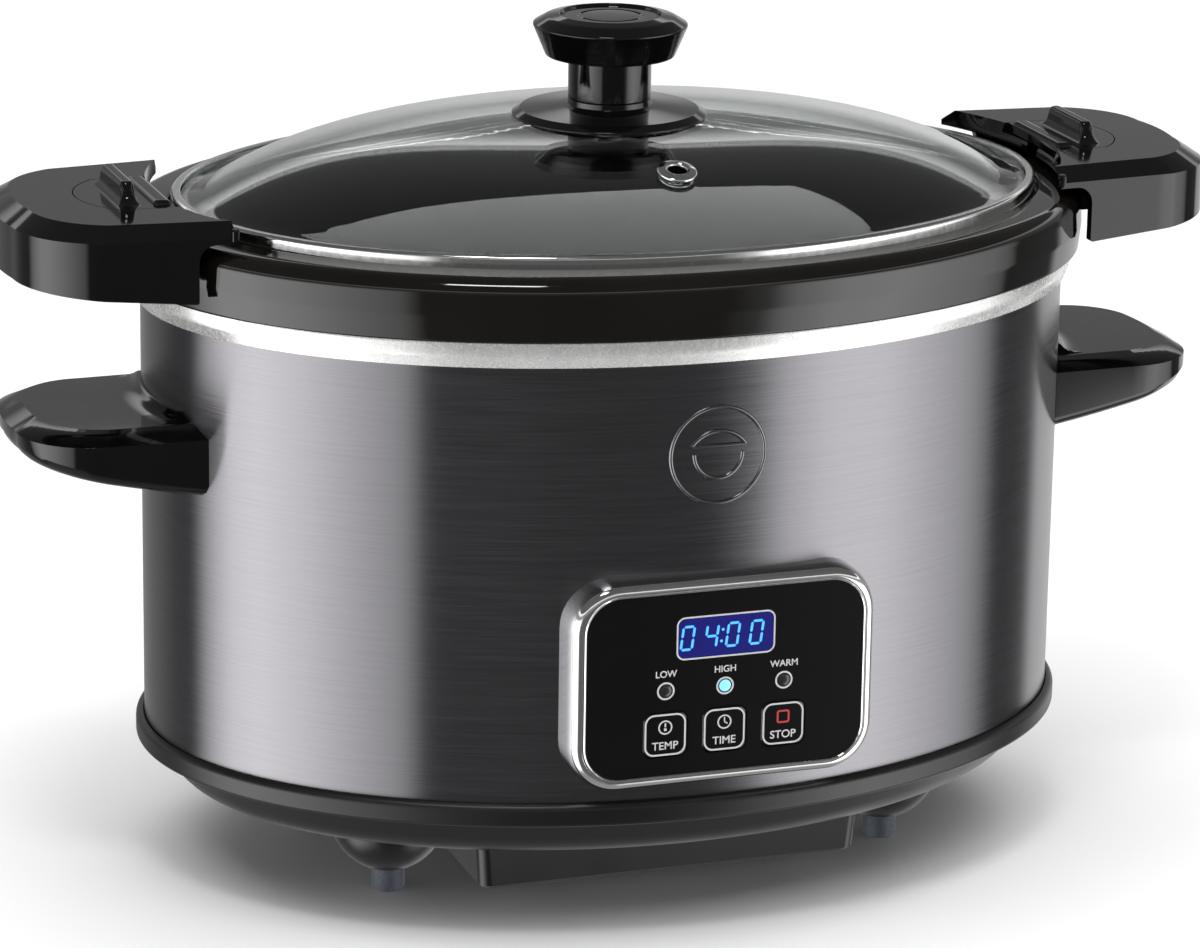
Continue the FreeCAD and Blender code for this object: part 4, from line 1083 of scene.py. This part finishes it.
def digits(midZ, face):
    # seven-segment figures leaning to the right, with two dots
    look = {"tall": 7.9, "wide": 3.9, "line": 0.85, "lean": 0.13, "gap": 0.22}
    half, mid = look["tall"] / 2, look["wide"] / 2
    bars = {"top": ((-mid, half), (mid, half)), "middle": ((-mid, 0), (mid, 0)),
            "bottom": ((-mid, -half), (mid, -half)),
            "upperLeft": ((-mid, 0), (-mid, half)), "upperRight": ((mid, 0), (mid, half)),
            "lowerLeft": ((-mid, -half), (-mid, 0)), "lowerRight": ((mid, -half), (mid, 0))}
    zero = ("top", "bottom", "upperLeft", "upperRight", "lowerLeft", "lowerRight")
    four = ("middle", "upperLeft", "upperRight", "lowerRight")
    parts = []
    for place, lit in ((-13.5, zero), (-5.0, four), (2.5, zero), (10.9, zero)):
        for bar in lit:
            start, end = Vector(bars[bar][0]), Vector(bars[bar][1])
            along = (end - start).normalized()
            side = Vector((-along.y, along.x)) * look["line"] / 2
            start, end = start + along * look["gap"], end - along * look["gap"]
            corner = along * look["line"] / 2
            points = [start, start + corner - side, end - corner - side, end, end - corner + side,
                      start + corner + side]
            points = [(place + p.x + p.y * look["lean"], p.y) for p in points]
            parts.append(slab("segment", points, 0, midZ, face + 0.03, face - 0.06))
    for up in (2.0, -2.0):
        dot = [(-1.3 + up * look["lean"] + 0.5 * math.cos(math.tau * s / 20),
                up + 0.5 * math.sin(math.tau * s / 20))
               for s in range(20)]
        parts.append(slab("dot", dot, 0, midZ, face + 0.03, face - 0.06))
    finishPiece(joined("display_digits", parts), "cooker_body", segmentLight, "display_lens")


controlPanel()
print("panel done")


# floor, light and camera

def studioFloor():
    clearSelection()
    bpy.ops.mesh.primitive_plane_add(size=16, location=(0, 0, 0))
    floor = bpy.context.object
    floor.name = "studio_floor"
    material, nodes, links, shader = startMaterial("paleFloor", (0.86, 0.86, 0.86), 0.55)
    cloud = grain(nodes, links, (1, 1, 1), 1.5, 2.0)
    tint(nodes, links, shader, cloud, (0.84, 0.84, 0.84), (0.88, 0.88, 0.88))
    shader.inputs["Specular IOR Level"].default_value = 0.2
    floor.data.materials.append(material)
    floor.visible_glossy = False  # the studio below is painted into the world


def softBox(name, azimuth, elevation, distance, wide, tall, power, mirrored=False):
    # azimuth is measured from the front, towards the right
    turn, rise = math.radians(azimuth), math.radians(elevation)
    place = Vector((math.sin(turn) * math.cos(rise), -math.cos(turn) * math.cos(rise),
                    math.sin(rise))) * distance
    clearSelection()
    bpy.ops.object.light_add(type="AREA", location=place + Vector((0, 0, 0.12)))
    lamp = bpy.context.object
    lamp.name = name
    lamp.data.shape = "RECTANGLE"
    lamp.data.size = wide
    lamp.data.size_y = tall
    lamp.data.energy = power
    lamp.visible_glossy = mirrored  # the large box lights the floor without showing in the black plastic
    lamp.rotation_mode = "QUATERNION"
    lamp.rotation_quaternion = place.to_track_quat("Z", "Y")
    return lamp


def studioWorld():
    # brightness of the studio by bearing in degrees from the front, and above the horizon by height
    walls = [(-180, 0.35), (-150, 0.30), (-134, 0.18), (-121, 0.18), (-112, 1.9), (-100, 3.4), (-88, 3.7),
             (-70, 3.0),
             (-56, 2.1), (-43, 1.3), (-38, 0.14), (-10, 0.11), (20, 0.12), (27, 0.5), (32, 1.9), (42, 3.0),
             (54, 3.1),
             (66, 2.3), (80, 1.5), (87, 0.8), (90, 0.13), (112, 0.14), (117, 1.1), (180, 0.35)]
    heights = [(0.0, 0.28), (0.29, 0.30), (0.335, 0.9), (0.385, 1.45), (0.400, 0.13), (1.0, 0.10)]
    depths = [(0.0, 0.3), (1.0, 0.3)]
    strength = 4.0
    world = bpy.data.worlds.new("studio")
    bpy.context.scene.world = world
    world.use_nodes = True
    nodes, links = world.node_tree.nodes, world.node_tree.links
    place = nodes.new("ShaderNodeTexCoord")
    split = nodes.new("ShaderNodeSeparateXYZ")
    links.new(place.outputs["Generated"], split.inputs["Vector"])
    flip = nodes.new("ShaderNodeMath")
    flip.operation = "MULTIPLY"
    flip.inputs[1].default_value = -1
    links.new(split.outputs["Y"], flip.inputs[0])
    bearing = nodes.new("ShaderNodeMath")
    bearing.operation = "ARCTAN2"
    links.new(split.outputs["X"], bearing.inputs[0])
    links.new(flip.outputs["Value"], bearing.inputs[1])
    turn = nodes.new("ShaderNodeMapRange")
    turn.inputs["From Min"].default_value = -math.pi
    turn.inputs["From Max"].default_value = math.pi
    links.new(bearing.outputs["Value"], turn.inputs["Value"])

    def brightness(levels, value):
        ramp = nodes.new("ShaderNodeValToRGB")
        stops = ramp.color_ramp.elements
        for place, level in levels[1:-1]:
            stops.new(place)
        for stop, (place, level) in zip(stops, levels):
            stop.position = place
            stop.color = (level / strength, level / strength, level / strength, 1)
        links.new(value, ramp.inputs["Fac"])
        return ramp.outputs["Color"]

    def blend(low, high, first, second):
        mask = nodes.new("ShaderNodeMapRange")
        mask.interpolation_type = "SMOOTHSTEP"
        mask.inputs["From Min"].default_value = low
        mask.inputs["From Max"].default_value = high
        links.new(split.outputs["Z"], mask.inputs["Value"])
        mix = nodes.new("ShaderNodeMix")
        mix.data_type = "RGBA"
        links.new(mask.outputs["Result"], mix.inputs["Factor"])
        links.new(first, mix.inputs["A"])
        links.new(second, mix.inputs["B"])
        return mix.outputs["Result"]

    around = brightness([((degrees + 180) / 360, level) for degrees, level in walls], turn.outputs["Result"])
    upward = brightness(heights, split.outputs["Z"])
    downward = brightness(depths, split.outputs["Z"])
    sides = blend(-0.68, -0.88, around, downward)
    links.new(blend(0.05, 0.24, sides, upward), nodes["Background"].inputs["Color"])
    nodes["Background"].inputs["Strength"].default_value = strength


def camera():
    view = {"azimuth": -19.302, "elevation": 16.384, "distance": 1.80567, "lens": 153.13, "across": -0.001288,
            "up": 0.130271, "roll": 0.861}
    turn, rise, roll = (math.radians(view[name]) for name in ("azimuth", "elevation", "roll"))
    back = Vector((math.sin(turn) * math.cos(rise), -math.cos(turn) * math.cos(rise), math.sin(rise)))
    right = Vector((math.cos(turn), math.sin(turn), 0))
    upward = back.cross(right)
    leanRight = right * math.cos(roll) + upward * math.sin(roll)
    leanUp = upward * math.cos(roll) - right * math.sin(roll)
    place = Vector((0, 0, view["up"])) + right * view["across"] + back * view["distance"]
    bpy.ops.object.camera_add()
    eye = bpy.context.object
    eye.data.lens = view["lens"]
    eye.data.sensor_width = 36
    eye.matrix_world = Matrix((leanRight, leanUp, back)).transposed().to_4x4()
    eye.location = place
    bpy.context.scene.camera = eye


studioFloor()
studioWorld()
softBox("overhead", 10, 86, 4.2, 7.0, 7.0, 400)
softBox("edge_light", -28, 64, 2.3, 0.55, 0.25, 9, True)
camera()
bpy.context.scene.view_settings.view_transform = "Standard"
print("stage set")
